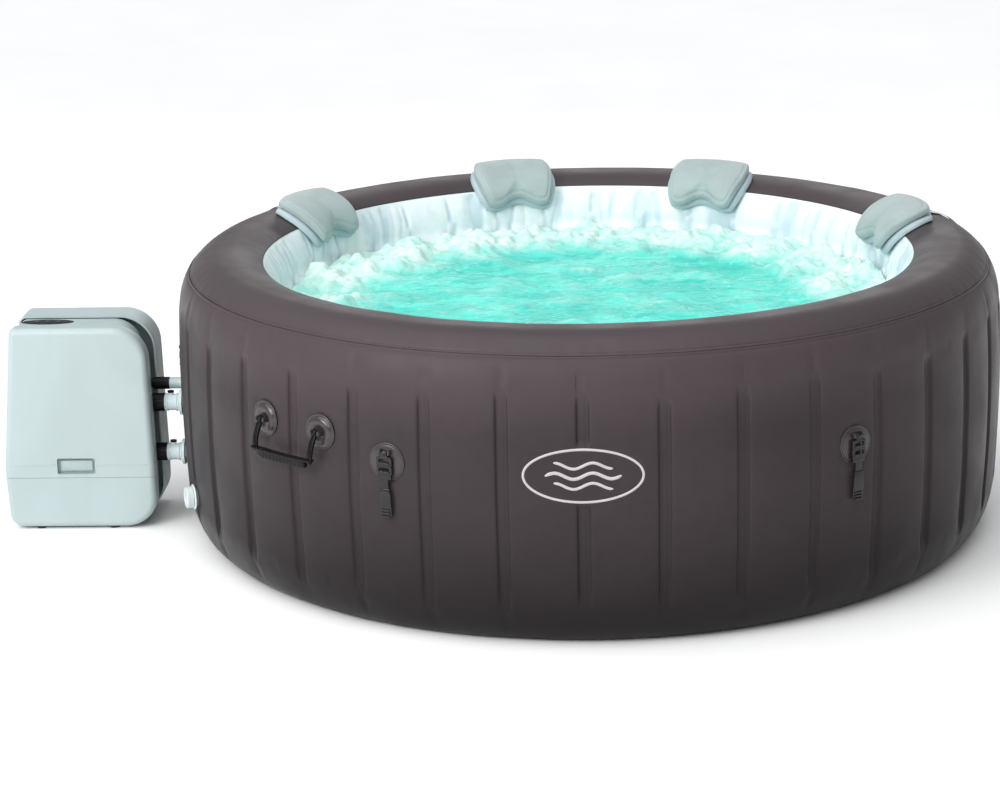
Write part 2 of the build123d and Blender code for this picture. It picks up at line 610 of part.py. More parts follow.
VENT_COUNT, VENT_PITCH, VENT_Z = 9, 14.0, 380.0
VENT_LENGTH, VENT_HEIGHT = 150.0, 6.0
GLAND_RADIUS, GLAND_X, GLAND_Z = 8.0, PUMP_LEFT + 70.0, 150.0
CUT_START = 1.0
rear_half = casing_shell(CORE_REAR + SHELL_GAP, PUMP_REAR, REAR_EDGE)
with BuildPart() as rear_shell:
    add(rear_half.part)
    with BuildSketch(pump_plane(PUMP_REAR + CUT_START)):
        with Locations((GRIP_POCKET_X, VENT_Z)):
            with GridLocations(0, VENT_PITCH, 1, VENT_COUNT):
                SlotOverall(VENT_LENGTH, VENT_HEIGHT)
    extrude(amount=-2 * SHELL_WALL, both=True, mode=Mode.SUBTRACT)
    with BuildSketch(pump_plane(PUMP_REAR + CUT_START)):
        with Locations((GLAND_X, GLAND_Z)):
            Circle(GLAND_RADIUS + RUNNING_GAP)
    extrude(amount=-2 * SHELL_WALL, both=True, mode=Mode.SUBTRACT)
save(rear_shell, "rear_shell")

DISPLAY_SINK = 5.0
DISPLAY_SEAT_DROP, DISPLAY_MARGIN = 3.0, 8.0
DISPLAY_FLOOR = PUMP_TOP - CORE_INSET - DISPLAY_SINK
CUT_UP = 20.0
STUB_CUT = 60.0
with BuildPart() as core_frame:
    with BuildSketch(pump_plane(CORE_REAR)):
        with BuildLine():
            core_outline()
        make_face()
        offset(amount=-CORE_WALL, mode=Mode.SUBTRACT)
    extrude(amount=CORE_REAR - CORE_FRONT)
    with BuildSketch(Plane.XY.offset(PUMP_TOP - CORE_INSET - CORE_WALL - DISPLAY_SEAT_DROP)):
        with Locations((DISPLAY_X, DISPLAY_Y)):
            Rectangle(DISPLAY_LENGTH + DISPLAY_MARGIN, DISPLAY_DEPTH + DISPLAY_MARGIN)
    extrude(amount=CORE_WALL)
    with BuildSketch(Plane.XY.offset(DISPLAY_FLOOR)):
        with Locations((DISPLAY_X, DISPLAY_Y)):
            Ellipse(DISPLAY_LENGTH / 2 + SHELL_GAP, DISPLAY_DEPTH / 2 + SHELL_GAP)
    extrude(amount=CUT_UP, mode=Mode.SUBTRACT)
    for stub_y, stub_z, stub_radius in (
        (WATER_Y, WATER_IN_Z, WATER_STUB_RADIUS),
        (WATER_Y, WATER_OUT_Z, WATER_STUB_RADIUS),
        (AIR_Y, AIR_Z, AIR_STUB_RADIUS),
    ):
        with BuildSketch(coupling_plane(STUB_START, stub_z, stub_y)):
            Circle(stub_radius + RUNNING_GAP)
        extrude(amount=STUB_CUT, mode=Mode.SUBTRACT)
save(core_frame, "core_frame")

FOOT_RADIUS = 12.0
FOOT_XS = (-1340.0, -1160.0)
FOOT_YS = (-118.0, 70.0)
with BuildPart() as rubber_feet:
    with BuildSketch():
        with Locations(*[(foot_x, foot_y) for foot_x in FOOT_XS for foot_y in FOOT_YS]):
            Circle(FOOT_RADIUS)
    extrude(amount=PUMP_FOOT)
save(rubber_feet, "rubber_feet")

GLAND_GAP = 0.2
GLAND_FLANGE_RADIUS, GLAND_FLANGE_THICK = 13.0, 5.0
GLAND_REACH = 16.0
GLAND_NUT_RADIUS, GLAND_NUT_LENGTH = 10.0, 12.0
CORD_BORE_RADIUS, CORD_BORE_BACK, CORD_BORE_LENGTH = 4.0, 20.0, 50.0
with BuildPart() as cable_gland:
    with BuildSketch(pump_plane(PUMP_REAR + GLAND_GAP)):
        with Locations((GLAND_X, GLAND_Z)):
            Circle(GLAND_FLANGE_RADIUS)
    extrude(amount=-GLAND_FLANGE_THICK)
    with BuildSketch(pump_plane(PUMP_REAR + GLAND_GAP)):
        with Locations((GLAND_X, GLAND_Z)):
            Circle(GLAND_RADIUS)
    extrude(amount=GLAND_REACH)
    with BuildSketch(pump_plane(PUMP_REAR + GLAND_GAP)):
        with Locations((GLAND_X, GLAND_Z)):
            Circle(GLAND_NUT_RADIUS)
    extrude(amount=-GLAND_NUT_LENGTH)
    with BuildSketch(pump_plane(PUMP_REAR - CORD_BORE_BACK)):
        with Locations((GLAND_X, GLAND_Z)):
            Circle(CORD_BORE_RADIUS)
    extrude(amount=-CORD_BORE_LENGTH, mode=Mode.SUBTRACT)
save(cable_gland, "cable_gland")

SCREW_RADIUS, SCREW_HEIGHT, SCREW_CHAMFER, SCREW_GAP = 3.5, 2.0, 0.6, 0.1
SCREW_PLACES = ((-1370.0, 60.0), (-1110.0, 60.0), (-1360.0, 470.0), (-1150.0, 470.0))
with BuildPart() as shell_screws:
    with BuildSketch(pump_plane(PUMP_REAR + SCREW_GAP)):
        with Locations(*SCREW_PLACES):
            Circle(SCREW_RADIUS)
    extrude(amount=-SCREW_HEIGHT)
    chamfer(shell_screws.faces().group_by(Axis.Y)[-1].edges(), SCREW_CHAMFER)
save(shell_screws, "shell_screws")

# --- Display and buttons --------------------------------------------------------------------------
button_xs = [DISPLAY_X + BUTTON_PITCH * (i - 1) for i in range(len(BUTTON_NAMES))]
LENS_PROUD, LENS_THICK, LENS_WALL, LENS_EDGE = 1.0, 2.5, 2.0, 1.0
LENS_TOP = PUMP_TOP - CORE_INSET + LENS_PROUD
with BuildPart() as display_lens:
    with BuildSketch(Plane.XY.offset(DISPLAY_FLOOR)):
        with Locations((DISPLAY_X, DISPLAY_Y)):
            Ellipse(DISPLAY_LENGTH / 2, DISPLAY_DEPTH / 2)
    extrude(amount=LENS_TOP - DISPLAY_FLOOR)
    fillet(display_lens.faces().sort_by(Axis.Z)[-1].edges(), LENS_EDGE)
    with BuildSketch(Plane.XY.offset(DISPLAY_FLOOR)):
        with Locations((DISPLAY_X, DISPLAY_Y)):
            Ellipse(DISPLAY_LENGTH / 2 - LENS_WALL, DISPLAY_DEPTH / 2 - LENS_WALL)
    extrude(amount=LENS_TOP - DISPLAY_FLOOR - LENS_THICK, mode=Mode.SUBTRACT)
    with BuildSketch(Plane.XY.offset(DISPLAY_FLOOR)):
        with Locations(*[(x, DISPLAY_Y) for x in button_xs]):
            Circle(BUTTON_RADIUS + SHELL_GAP)
    extrude(amount=CUT_UP, mode=Mode.SUBTRACT)
save(display_lens, "display_lens")

BUTTON_TRAVEL, BUTTON_PROUD, BUTTON_EDGE = 1.2, 1.4, 0.6
for button_name, button_x in zip(BUTTON_NAMES, button_xs):
    with BuildPart() as button:
        with BuildSketch(Plane.XY.offset(DISPLAY_FLOOR + BUTTON_TRAVEL + SHELL_GAP)):
            with Locations((button_x, DISPLAY_Y)):
                Circle(BUTTON_RADIUS)
        extrude(amount=LENS_TOP + BUTTON_PROUD - DISPLAY_FLOOR - BUTTON_TRAVEL - SHELL_GAP)
        fillet(button.faces().sort_by(Axis.Z)[-1].edges(), BUTTON_EDGE)
    save(button, f"button_{button_name}")


# --- Couplings ------------------------------------------------------------------------------------
def add_tube(start, end, z, outer, bore, y=WATER_Y):
    """A straight tube along X from start to end."""
    with BuildSketch(coupling_plane(start, z, y)) as wall:
        Circle(outer)
        Circle(bore, mode=Mode.SUBTRACT)
    extrude(wall.sketch, amount=end - start)


with BuildPart() as coupling_stubs:
    for pipe_z in (WATER_IN_Z, WATER_OUT_Z):
        add_tube(STUB_START, WATER_STUB_END, pipe_z, WATER_STUB_RADIUS, WATER_BORE)
    add_tube(STUB_START, AIR_STUB_END, AIR_Z, AIR_STUB_RADIUS, AIR_BORE, AIR_Y)
save(coupling_stubs, "coupling_stubs")


NUT_WALL, NUT_RIB_DEPTH, NUT_RIB_WIDTH, NUT_RIB_SET = 4.0, 2.4, 2.6, 0.2
WATER_NUT_RIBS, AIR_NUT_RIBS = 18, 12


def union_nut(y, z, end, stub_radius, ribs):
    """A ribbed collar that turns on the end of a stub."""
    root_radius = stub_radius + NUT_WALL - NUT_RIB_DEPTH / 2 + NUT_RIB_SET
    with BuildPart() as nut:
        with BuildSketch(coupling_plane(NUT_START, z, y)):
            Circle(root_radius)
            with PolarLocations(root_radius - NUT_RIB_SET, ribs):
                Rectangle(NUT_RIB_DEPTH, NUT_RIB_WIDTH)
            Circle(stub_radius + RUNNING_GAP, mode=Mode.SUBTRACT)
        extrude(amount=end - NUT_START)
    return nut


save(union_nut(WATER_Y, WATER_IN_Z, WATER_STUB_END, WATER_STUB_RADIUS, WATER_NUT_RIBS), "union_nut_inlet")
save(union_nut(WATER_Y, WATER_OUT_Z, WATER_STUB_END, WATER_STUB_RADIUS, WATER_NUT_RIBS), "union_nut_outlet")
save(union_nut(AIR_Y, AIR_Z, AIR_STUB_END, AIR_STUB_RADIUS, AIR_NUT_RIBS), "union_nut_air")

# Stop-valve bodies reach from the union nuts through both walls, with a boss for the lever on top.
JOINT_GAP, INNER_REACH, VALVE_WALL = 0.6, 11.0, 2.0
VALVE_START = WATER_STUB_END + JOINT_GAP
INNER_FACE = INNER_REACH - BASIN_RADIUS
FLANGE_RADIUS, FLANGE_THICK = 31.0, 6.0
BOSS_RADIUS, BOSS_TOP, LEVER_STEM = 7.0, 24.0, 4.0
with BuildPart() as stop_valves:
    for pipe_z in (WATER_IN_Z, WATER_OUT_Z):
        with BuildSketch(coupling_plane(VALVE_START, pipe_z, WATER_Y)):
            Circle(WATER_STUB_RADIUS + VALVE_WALL)
        extrude(amount=WALL_FACE - VALVE_START)
        with BuildSketch(coupling_plane(WALL_FACE - FLANGE_THICK, pipe_z, WATER_Y)):
            Circle(FLANGE_RADIUS)
        extrude(amount=FLANGE_THICK)
        with BuildSketch(coupling_plane(WALL_FACE, pipe_z, WATER_Y)):
            Circle(WATER_STUB_RADIUS)
        extrude(amount=INNER_FACE - WALL_FACE)
        with BuildSketch(Plane.XY.offset(pipe_z)):
            with Locations((LEVER_X, WATER_Y)):
                Circle(BOSS_RADIUS)
        extrude(amount=BOSS_TOP)
        with BuildSketch(coupling_plane(VALVE_START, pipe_z, WATER_Y)):
            Circle(WATER_BORE)
        extrude(amount=INNER_FACE - VALVE_START, mode=Mode.SUBTRACT)
        with BuildSketch(Plane.XY.offset(pipe_z + WATER_BORE)):
            with Locations((LEVER_X, WATER_Y)):
                Circle(LEVER_STEM + RUNNING_GAP)
        extrude(amount=BOSS_TOP, mode=Mode.SUBTRACT)
save(stop_valves, "stop_valves")


LEVER_STEM_LIFT, LEVER_LIFT, LEVER_HUB, LEVER_THICK = 2.0, 0.5, 6.0, 5.0
LEVER_LENGTH, LEVER_WIDTH = 16.0, 7.0


def stop_lever(z):
    """The quarter-turn lever: a stem in the boss and a flat paddle over it."""
    with BuildPart() as lever:
        with BuildSketch(Plane.XY.offset(z + WATER_BORE + LEVER_STEM_LIFT)):
            with Locations((LEVER_X, WATER_Y)):
                Circle(LEVER_STEM)
        extrude(amount=BOSS_TOP - WATER_BORE)
        with BuildSketch(Plane.XY.offset(z + BOSS_TOP + LEVER_LIFT)):
            with Locations((LEVER_X, WATER_Y)):
                Circle(LEVER_HUB)
                SlotOverall(LEVER_LENGTH, LEVER_WIDTH)
        extrude(amount=LEVER_THICK)
    return lever


save(stop_lever(WATER_IN_Z), "stop_lever_inlet")
save(stop_lever(WATER_OUT_Z), "stop_lever_outlet")

AIR_NECK_END = -950.0
AIR_BODY_WALL = 3.0
AIR_FLANGE_RADIUS, AIR_FLANGE_THICK, AIR_FLANGE_RISE = 18.0, 3.0, 6.0
with BuildPart() as air_inlet:
    with BuildSketch(coupling_plane(AIR_STUB_END + JOINT_GAP, AIR_Z, AIR_Y)):
        Circle(AIR_STUB_RADIUS + AIR_BODY_WALL)
    extrude(amount=WALL_FACE - AIR_STUB_END - JOINT_GAP)
    with BuildSketch(coupling_plane(WALL_FACE - AIR_FLANGE_THICK, AIR_Z + AIR_FLANGE_RISE, AIR_Y)):
        Circle(AIR_FLANGE_RADIUS)
    extrude(amount=AIR_FLANGE_THICK)
    add_tube(WALL_FACE, AIR_NECK_END, AIR_Z, AIR_STUB_RADIUS, AIR_BORE, AIR_Y)
    with BuildSketch(coupling_plane(AIR_STUB_END, AIR_Z, AIR_Y)):
        Circle(AIR_BORE)
    extrude(amount=AIR_NECK_END - AIR_STUB_END, mode=Mode.SUBTRACT)
save(air_inlet, "air_inlet")

# --- Filter in the basin --------------------------------------------------------------------------
FILTER_RADIUS, FILTER_LENGTH, FILTER_WALL = 54.0, 78.0, 3.0
FILTER_GAP = 0.4
CARTRIDGE_END_GAP, CARTRIDGE_SIDE_GAP, CARTRIDGE_CORE_WALL = 1.0, 4.0, 6.0
FILTER_CAP_SKIRT, FILTER_CAP_WALL, FILTER_CAP_GAP = 14.0, 5.0, 1.0
FILTER_SLOTS, FILTER_SLOT_PITCH, FILTER_SLOT_LENGTH, FILTER_SLOT_WIDTH = 10, 30.0, 26.0, 6.0
filter_start = INNER_FACE + FILTER_GAP
filter_end = filter_start + FILTER_LENGTH
with BuildPart() as filter_housing:
    with BuildSketch(coupling_plane(filter_start, WATER_IN_Z, WATER_Y)):
        Circle(FILTER_RADIUS)
    extrude(amount=FILTER_LENGTH)
    with BuildSketch(coupling_plane(filter_start + FILTER_WALL, WATER_IN_Z, WATER_Y)):
        Circle(FILTER_RADIUS - FILTER_WALL)
    extrude(amount=FILTER_LENGTH, mode=Mode.SUBTRACT)
    with BuildSketch(coupling_plane(filter_start, WATER_IN_Z, WATER_Y)):
        Circle(WATER_BORE)
    extrude(amount=FILTER_WALL, mode=Mode.SUBTRACT)
save(filter_housing, "filter_housing")

with BuildPart() as filter_cartridge:
    cartridge_start = filter_start + FILTER_WALL + CARTRIDGE_END_GAP
    with BuildSketch(coupling_plane(cartridge_start, WATER_IN_Z, WATER_Y)):
        Circle(FILTER_RADIUS - FILTER_WALL - CARTRIDGE_SIDE_GAP)
        Circle(WATER_BORE + CARTRIDGE_CORE_WALL, mode=Mode.SUBTRACT)
    extrude(amount=FILTER_LENGTH - FILTER_WALL - CARTRIDGE_SIDE_GAP)
save(filter_cartridge, "filter_cartridge")

with BuildPart() as filter_cap:
    with BuildSketch(coupling_plane(filter_end - FILTER_CAP_SKIRT, WATER_IN_Z, WATER_Y)):
        Circle(FILTER_RADIUS + FILTER_CAP_WALL)
        Circle(FILTER_RADIUS + RUNNING_GAP, mode=Mode.SUBTRACT)
    extrude(amount=FILTER_CAP_SKIRT + FILTER_CAP_GAP)
    with BuildSketch(coupling_plane(filter_end + FILTER_CAP_GAP, WATER_IN_Z, WATER_Y)):
        Circle(FILTER_RADIUS + FILTER_CAP_WALL)
        with PolarLocations(FILTER_SLOT_PITCH, FILTER_SLOTS):
            SlotOverall(FILTER_SLOT_LENGTH, FILTER_SLOT_WIDTH, mode=Mode.SUBTRACT)
    extrude(amount=FILTER_CAP_WALL)
save(filter_cap, "filter_cap")

# --- Inside the pump unit -------------------------------------------------------------------------
VOLUTE_START, VOLUTE_END = -1170.0, -1114.0
VOLUTE_RADIUS, IMPELLER_RADIUS = 36.0, 28.0
SHAFT_RADIUS = 4.0
RISER_RADIUS = 10.0
HEATER_RADIUS = 22.0
HEATER_START = -1330.0
MOTOR_START, MOTOR_RADIUS = -1300.0, 34.0
VOLUTE_WALL, RISER_WALL, RISER_SINK, RISER_BORE_SINK = 4.0, 3.0, 2.0, 10.0
PIPE_GAP = 0.5
IMPELLER_SET, IMPELLER_DISC, BLADE_DEPTH = 10.0, 4.0, 20.0
IMPELLER_HUB, BLADE_COUNT, BLADE_PITCH, BLADE_LENGTH, BLADE_THICK = 8.0, 6, 16.0, 20.0, 3.0
SHAFT_SET, SHAFT_OVERLAP = 60.0, 12.0
MOTOR_GAP = 1.0
FIN_SET, FIN_COUNT, FIN_DEPTH, FIN_THICK, FIN_SHORT = 10.0, 16, 6.0, 2.0, 30.0
SHAFT_BORE_SET, SHAFT_BORE_LENGTH = 55.0, 200.0
HEATER_WALL, HEATER_END = 3.0, 4.0
riser_x = (VOLUTE_START + VOLUTE_END) / 2
riser_foot = WATER_IN_Z + VOLUTE_RADIUS - RISER_SINK

with BuildPart() as volute:
    add_tube(VOLUTE_START, VOLUTE_END, WATER_IN_Z, VOLUTE_RADIUS, VOLUTE_RADIUS - VOLUTE_WALL)
    with BuildSketch(coupling_plane(VOLUTE_START, WATER_IN_Z, WATER_Y)):
        Circle(VOLUTE_RADIUS)
        Circle(SHAFT_RADIUS + RUNNING_GAP, mode=Mode.SUBTRACT)
    extrude(amount=VOLUTE_WALL)
    with BuildSketch(coupling_plane(VOLUTE_END - VOLUTE_WALL, WATER_IN_Z, WATER_Y)):
        Circle(VOLUTE_RADIUS)
        Circle(WATER_BORE, mode=Mode.SUBTRACT)
    extrude(amount=VOLUTE_WALL)
    with BuildSketch(Plane.XY.offset(riser_foot)):
        with Locations((riser_x, WATER_Y)):
            Circle(RISER_RADIUS)
    extrude(amount=WATER_OUT_Z - HEATER_RADIUS - PIPE_GAP - riser_foot)
    with BuildSketch(Plane.XY.offset(WATER_IN_Z + VOLUTE_RADIUS - RISER_BORE_SINK)):
        with Locations((riser_x, WATER_Y)):
            Circle(RISER_RADIUS - RISER_WALL)
    extrude(amount=WATER_OUT_Z - WATER_IN_Z, mode=Mode.SUBTRACT)
save(volute, "volute")

with BuildPart() as impeller:
    with BuildSketch(coupling_plane(VOLUTE_START + IMPELLER_SET, WATER_IN_Z, WATER_Y)):
        Circle(IMPELLER_RADIUS)
    extrude(amount=IMPELLER_DISC)
    blade_start = VOLUTE_START + IMPELLER_SET + IMPELLER_DISC
    with BuildSketch(coupling_plane(blade_start, WATER_IN_Z, WATER_Y)):
        Circle(IMPELLER_HUB)
        with PolarLocations(BLADE_PITCH, BLADE_COUNT):
            Rectangle(BLADE_LENGTH, BLADE_THICK)
    extrude(amount=BLADE_DEPTH)
    with BuildSketch(coupling_plane(MOTOR_START + SHAFT_SET, WATER_IN_Z, WATER_Y)):
        Circle(SHAFT_RADIUS)
    extrude(amount=VOLUTE_START + SHAFT_OVERLAP - MOTOR_START - SHAFT_SET)
save(impeller, "impeller")

with BuildPart() as pump_motor:
    with BuildSketch(coupling_plane(MOTOR_START, WATER_IN_Z, WATER_Y)):
        Circle(MOTOR_RADIUS)
    extrude(amount=VOLUTE_START - MOTOR_GAP - MOTOR_START)
    with BuildSketch(coupling_plane(MOTOR_START + FIN_SET, WATER_IN_Z, WATER_Y)):
        with PolarLocations(MOTOR_RADIUS, FIN_COUNT):
            Rectangle(FIN_DEPTH, FIN_THICK)
    extrude(amount=VOLUTE_START - MOTOR_START - FIN_SHORT)
    with BuildSketch(coupling_plane(MOTOR_START + SHAFT_BORE_SET, WATER_IN_Z, WATER_Y)):
        Circle(SHAFT_RADIUS + RUNNING_GAP)
    extrude(amount=SHAFT_BORE_LENGTH, mode=Mode.SUBTRACT)
save(pump_motor, "pump_motor")

with BuildPart() as heater_tube:
    heater_bore = HEATER_RADIUS - HEATER_WALL
    add_tube(HEATER_START, STUB_START - PIPE_GAP, WATER_OUT_Z, HEATER_RADIUS, heater_bore)
    with BuildSketch(coupling_plane(HEATER_START, WATER_OUT_Z, WATER_Y)):
        Circle(HEATER_RADIUS)
    extrude(amount=HEATER_END)
save(heater_tube, "heater_tube")

BLOWER_Y, BLOWER_Z, BLOWER_RADIUS = 40.0, 410.0, 42.0
BLOWER_START, BLOWER_END = -1240.0, -1180.0
BLOWER_WALL = 3.0
FAN_RADIUS, FAN_SET, FAN_DISC, FAN_DEPTH = 35.0, 10.0, 3.0, 26.0
FAN_HUB, VANE_COUNT, VANE_PITCH, VANE_LENGTH, VANE_THICK, VANE_TURN = 9.0, 12, 28.0, 12.0, 2.0, 35.0
FAN_SHAFT_BACK, FAN_SHAFT_LENGTH = 16.0, 30.0
with BuildPart() as blower_housing:
    blower_bore = BLOWER_RADIUS - BLOWER_WALL
    add_tube(BLOWER_START, BLOWER_END, BLOWER_Z, BLOWER_RADIUS, blower_bore, BLOWER_Y)
    with BuildSketch(coupling_plane(BLOWER_START, BLOWER_Z, BLOWER_Y)):
        Circle(BLOWER_RADIUS)
        Circle(SHAFT_RADIUS + RUNNING_GAP, mode=Mode.SUBTRACT)
    extrude(amount=BLOWER_WALL)
    with BuildSketch(coupling_plane(BLOWER_END - BLOWER_WALL, BLOWER_Z, BLOWER_Y)):
        Circle(BLOWER_RADIUS)
        Circle(AIR_BORE, mode=Mode.SUBTRACT)
    extrude(amount=BLOWER_WALL)
save(blower_housing, "blower_housing")

with BuildPart() as blower_fan:
    with BuildSketch(coupling_plane(BLOWER_START + FAN_SET, BLOWER_Z, BLOWER_Y)):
        Circle(FAN_RADIUS)
    extrude(amount=FAN_DISC)
    with BuildSketch(coupling_plane(BLOWER_START + FAN_SET + FAN_DISC, BLOWER_Z, BLOWER_Y)):
        Circle(FAN_HUB)
        with PolarLocations(VANE_PITCH, VANE_COUNT):
            Rectangle(VANE_LENGTH, VANE_THICK, rotation=VANE_TURN)
    extrude(amount=FAN_DEPTH)
    with BuildSketch(coupling_plane(BLOWER_START - FAN_SHAFT_BACK, BLOWER_Z, BLOWER_Y)):
        Circle(SHAFT_RADIUS)
    extrude(amount=FAN_SHAFT_LENGTH)
save(blower_fan, "blower_fan")

# The duct leads the blower's air forward and down to the air stub.
DUCT_TURN_RADIUS, DUCT_WALL = 16.0, 2.0
duct_mid_x = (BLOWER_END + STUB_START) / 2
with BuildPart() as air_duct:
    with BuildLine():
        duct = FilletPolyline(
            (BLOWER_END + PIPE_GAP, BLOWER_Y, BLOWER_Z),
            (duct_mid_x, BLOWER_Y, BLOWER_Z),
            (duct_mid_x, AIR_Y, AIR_Z),
            (STUB_START - PIPE_GAP, AIR_Y, AIR_Z),
            radius=DUCT_TURN_RADIUS,
        )
    with BuildSketch(Plane(duct @ 0, x_dir=(0, 1, 0), z_dir=duct % 0)):
        Circle(AIR_BORE + DUCT_WALL)
        Circle(AIR_BORE, mode=Mode.SUBTRACT)
    sweep()
save(air_duct, "air_duct")

BOARD_X, BOARD_Z = -1308.0, 462.0
BOARD_LENGTH, BOARD_WIDTH, BOARD_THICK = 112.0, 58.0, 1.6
CHIP_LENGTH, CHIP_WIDTH, CHIP_HEIGHT = 16.0, 12.0, 10.0
CHIP_PITCH_X, CHIP_PITCH_Y, CHIP_COLUMNS, CHIP_ROWS = 34.0, 24.0, 3, 2
with BuildPart() as control_board:
    with BuildSketch(Plane.XY.offset(BOARD_Z)):
        with Locations((BOARD_X, DISPLAY_Y)):
            Rectangle(BOARD_LENGTH, BOARD_WIDTH)
    extrude(amount=BOARD_THICK)
    with BuildSketch(Plane.XY.offset(BOARD_Z + BOARD_THICK)):
        with Locations((BOARD_X, DISPLAY_Y)):
            with GridLocations(CHIP_PITCH_X, CHIP_PITCH_Y, CHIP_COLUMNS, CHIP_ROWS):
                Rectangle(CHIP_LENGTH, CHIP_WIDTH)
    extrude(amount=CHIP_HEIGHT)
save(control_board, "control_board")
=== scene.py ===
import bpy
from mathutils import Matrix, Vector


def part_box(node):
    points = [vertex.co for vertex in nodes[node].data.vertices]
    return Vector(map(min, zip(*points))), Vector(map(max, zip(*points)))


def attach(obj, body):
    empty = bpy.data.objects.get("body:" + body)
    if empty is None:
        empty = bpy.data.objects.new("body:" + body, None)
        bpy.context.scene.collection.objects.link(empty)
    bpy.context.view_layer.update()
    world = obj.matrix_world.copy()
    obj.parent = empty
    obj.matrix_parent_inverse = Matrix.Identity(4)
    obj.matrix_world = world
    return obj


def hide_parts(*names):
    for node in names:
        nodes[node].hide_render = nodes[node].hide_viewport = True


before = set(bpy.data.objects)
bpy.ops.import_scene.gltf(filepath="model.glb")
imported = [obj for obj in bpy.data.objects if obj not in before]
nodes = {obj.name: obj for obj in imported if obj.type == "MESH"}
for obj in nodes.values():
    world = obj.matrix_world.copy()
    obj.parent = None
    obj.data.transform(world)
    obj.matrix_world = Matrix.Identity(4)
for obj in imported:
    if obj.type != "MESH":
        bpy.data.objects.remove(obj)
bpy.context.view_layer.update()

from math import cos, pi, radians, sin

import bpy
import numpy as np
from mathutils import Matrix, Vector, noise

MM = 0.001
rng = np.random.default_rng(7)

# --- Sizes in millimetres, the frame's where it gives them ----------------------------------------
TUB_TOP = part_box("top_ring")[1].z / MM
TUB_R = 980.0
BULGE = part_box("outer_wall")[1].x / MM - TUB_R
BASIN_R = 739.0
# Radial and vertical half-axes of the outline's quarter ellipses: outer rim, inner rim and foot.
OUT_R, OUT_Z = 102.0, 129.0
IN_R, IN_Z = 124.0, 103.0
LOW_R, LOW_Z = 77.0, 138.0
RIM_C = (BASIN_R + IN_R, TUB_TOP - IN_Z)
SEAM_Z, COLOUR_Z = 640.0, 655.0
WALL_FACE = 987.0
FITTING_R = TUB_R + BULGE
WEB_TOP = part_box("web_beams")[1].z / MM
SKIN = 0.9
PANELS = 36
PITCH = 2 * pi / PANELS
HANDLES = {"front": -130.0, "back": 50.0}
HANDLE_Z, HANDLE_HALF_ANGLE, HANDLE_PATCH = 440.0, 5, 40.0
HANDLE_SPAN = FITTING_R * sin(radians(HANDLE_HALF_ANGLE))
CLIPS = (-115.0, -54.0, 5.0, 65.0, 125.0, 179.5)
CLIP_Z, CLIP_PATCH = 398.0, 42.0
HEADRESTS = (152.0, 105.5, 66.5, 15.5)
HEADREST_R = 812.0
# Angle and height, then the radii of flange, neck, spigot and bore.
VALVES = {
    "drain": (-159.5, 147.0, 29.6, 21.9, 21.0, 15.0),
    "inflation": (151.0, 400.0, 33.6, 19.9, 19.0, 14.0),
}
PIPE_Y, PIPE_Z = -66.0, {"inlet": 174.0, "outlet": 299.0}
POCKET_X, POCKET_Z = -1242.0, 160.0
WATER_LEVEL = 536.0
EMBLEM_Z, EMBLEM_HALF_WIDTH, EMBLEM_HALF_HEIGHT = 391.0, 126, 57


# --- Materials ------------------------------------------------------------------------------------
class Graph:
    """A short way to write a material's node graph."""

    def __init__(self, name):
        self.mat = bpy.data.materials.new(name)
        self.mat.use_nodes = True
        self.tree = self.mat.node_tree
        self.tree.nodes.clear()
        self.bsdf = self.tree.nodes.new("ShaderNodeBsdfPrincipled")
        self.node("OutputMaterial", {0: self.bsdf.outputs[0]})
        self.coords = self.node("TexCoord", {}).outputs["Object"]

    def node(self, kind, inputs, **settings):
        """A new node, its inputs given as values or as other nodes' outputs."""
        node = self.tree.nodes.new("ShaderNode" + kind)
        for key, value in settings.items():
            setattr(node, key, value)
        for key, value in inputs.items():
            if isinstance(value, bpy.types.NodeSocket):
                self.tree.links.new(value, node.inputs[key])
            else:
                node.inputs[key].default_value = value
        return node

    def put(self, **values):
        for key, value in values.items():
            self.bsdf.inputs[key.replace("_", " ")].default_value = value

    def finish(self, colour, rough, normal):
        """Links the three main sockets of the shader and gives back the material."""
        for key, socket in (("Base Color", colour), ("Roughness", rough), ("Normal", normal)):
            if socket is not None:
                self.tree.links.new(socket, self.bsdf.inputs[key])
        return self.mat

    def stretch(self, scale):
        return self.node("Mapping", {"Scale": scale, "Vector": self.coords}).outputs[0]

    def noise(self, scale, detail=3.0, rough=0.5, vector=None, distortion=0.0):
        inputs = {"Scale": scale, "Detail": detail, "Roughness": rough, "Distortion": distortion}
        inputs["Vector"] = vector or self.coords
        return self.node("TexNoise", inputs).outputs["Fac"]

    def voronoi(self, scale, vector=None, randomness=1.0):
        inputs = {"Scale": scale, "Randomness": randomness, "Vector": vector or self.coords}
        return self.node("TexVoronoi", inputs, feature="F1").outputs["Distance"]

    def ramp(self, value, low, high, out_low=0.0, out_high=1.0):
        inputs = {"Value": value, "From Min": low, "From Max": high}
        inputs.update({"To Min": out_low, "To Max": out_high})
        return self.node("MapRange", inputs, interpolation_type="SMOOTHSTEP").outputs[0]

    def mix(self, factor, a, b):
        a, b = ((*c, 1.0) if isinstance(c, tuple) else c for c in (a, b))
        return self.node("Mix", {0: factor, 6: a, 7: b}, data_type="RGBA").outputs[2]

    def attribute(self, name):
        return self.node("Attribute", {}, attribute_name=name).outputs["Fac"]

    def bump(self, height, distance, strength=1.0, before=None):
        inputs = {"Height": height, "Distance": distance, "Strength": strength}
        if before is not None:
            inputs["Normal"] = before
        return self.node("Bump", inputs).outputs[0]

    def height(self):
        return self.node("SeparateXYZ", {0: self.coords}).outputs[2]


def shade(colour, k):
    return tuple(min(1.0, c * k) for c in colour)


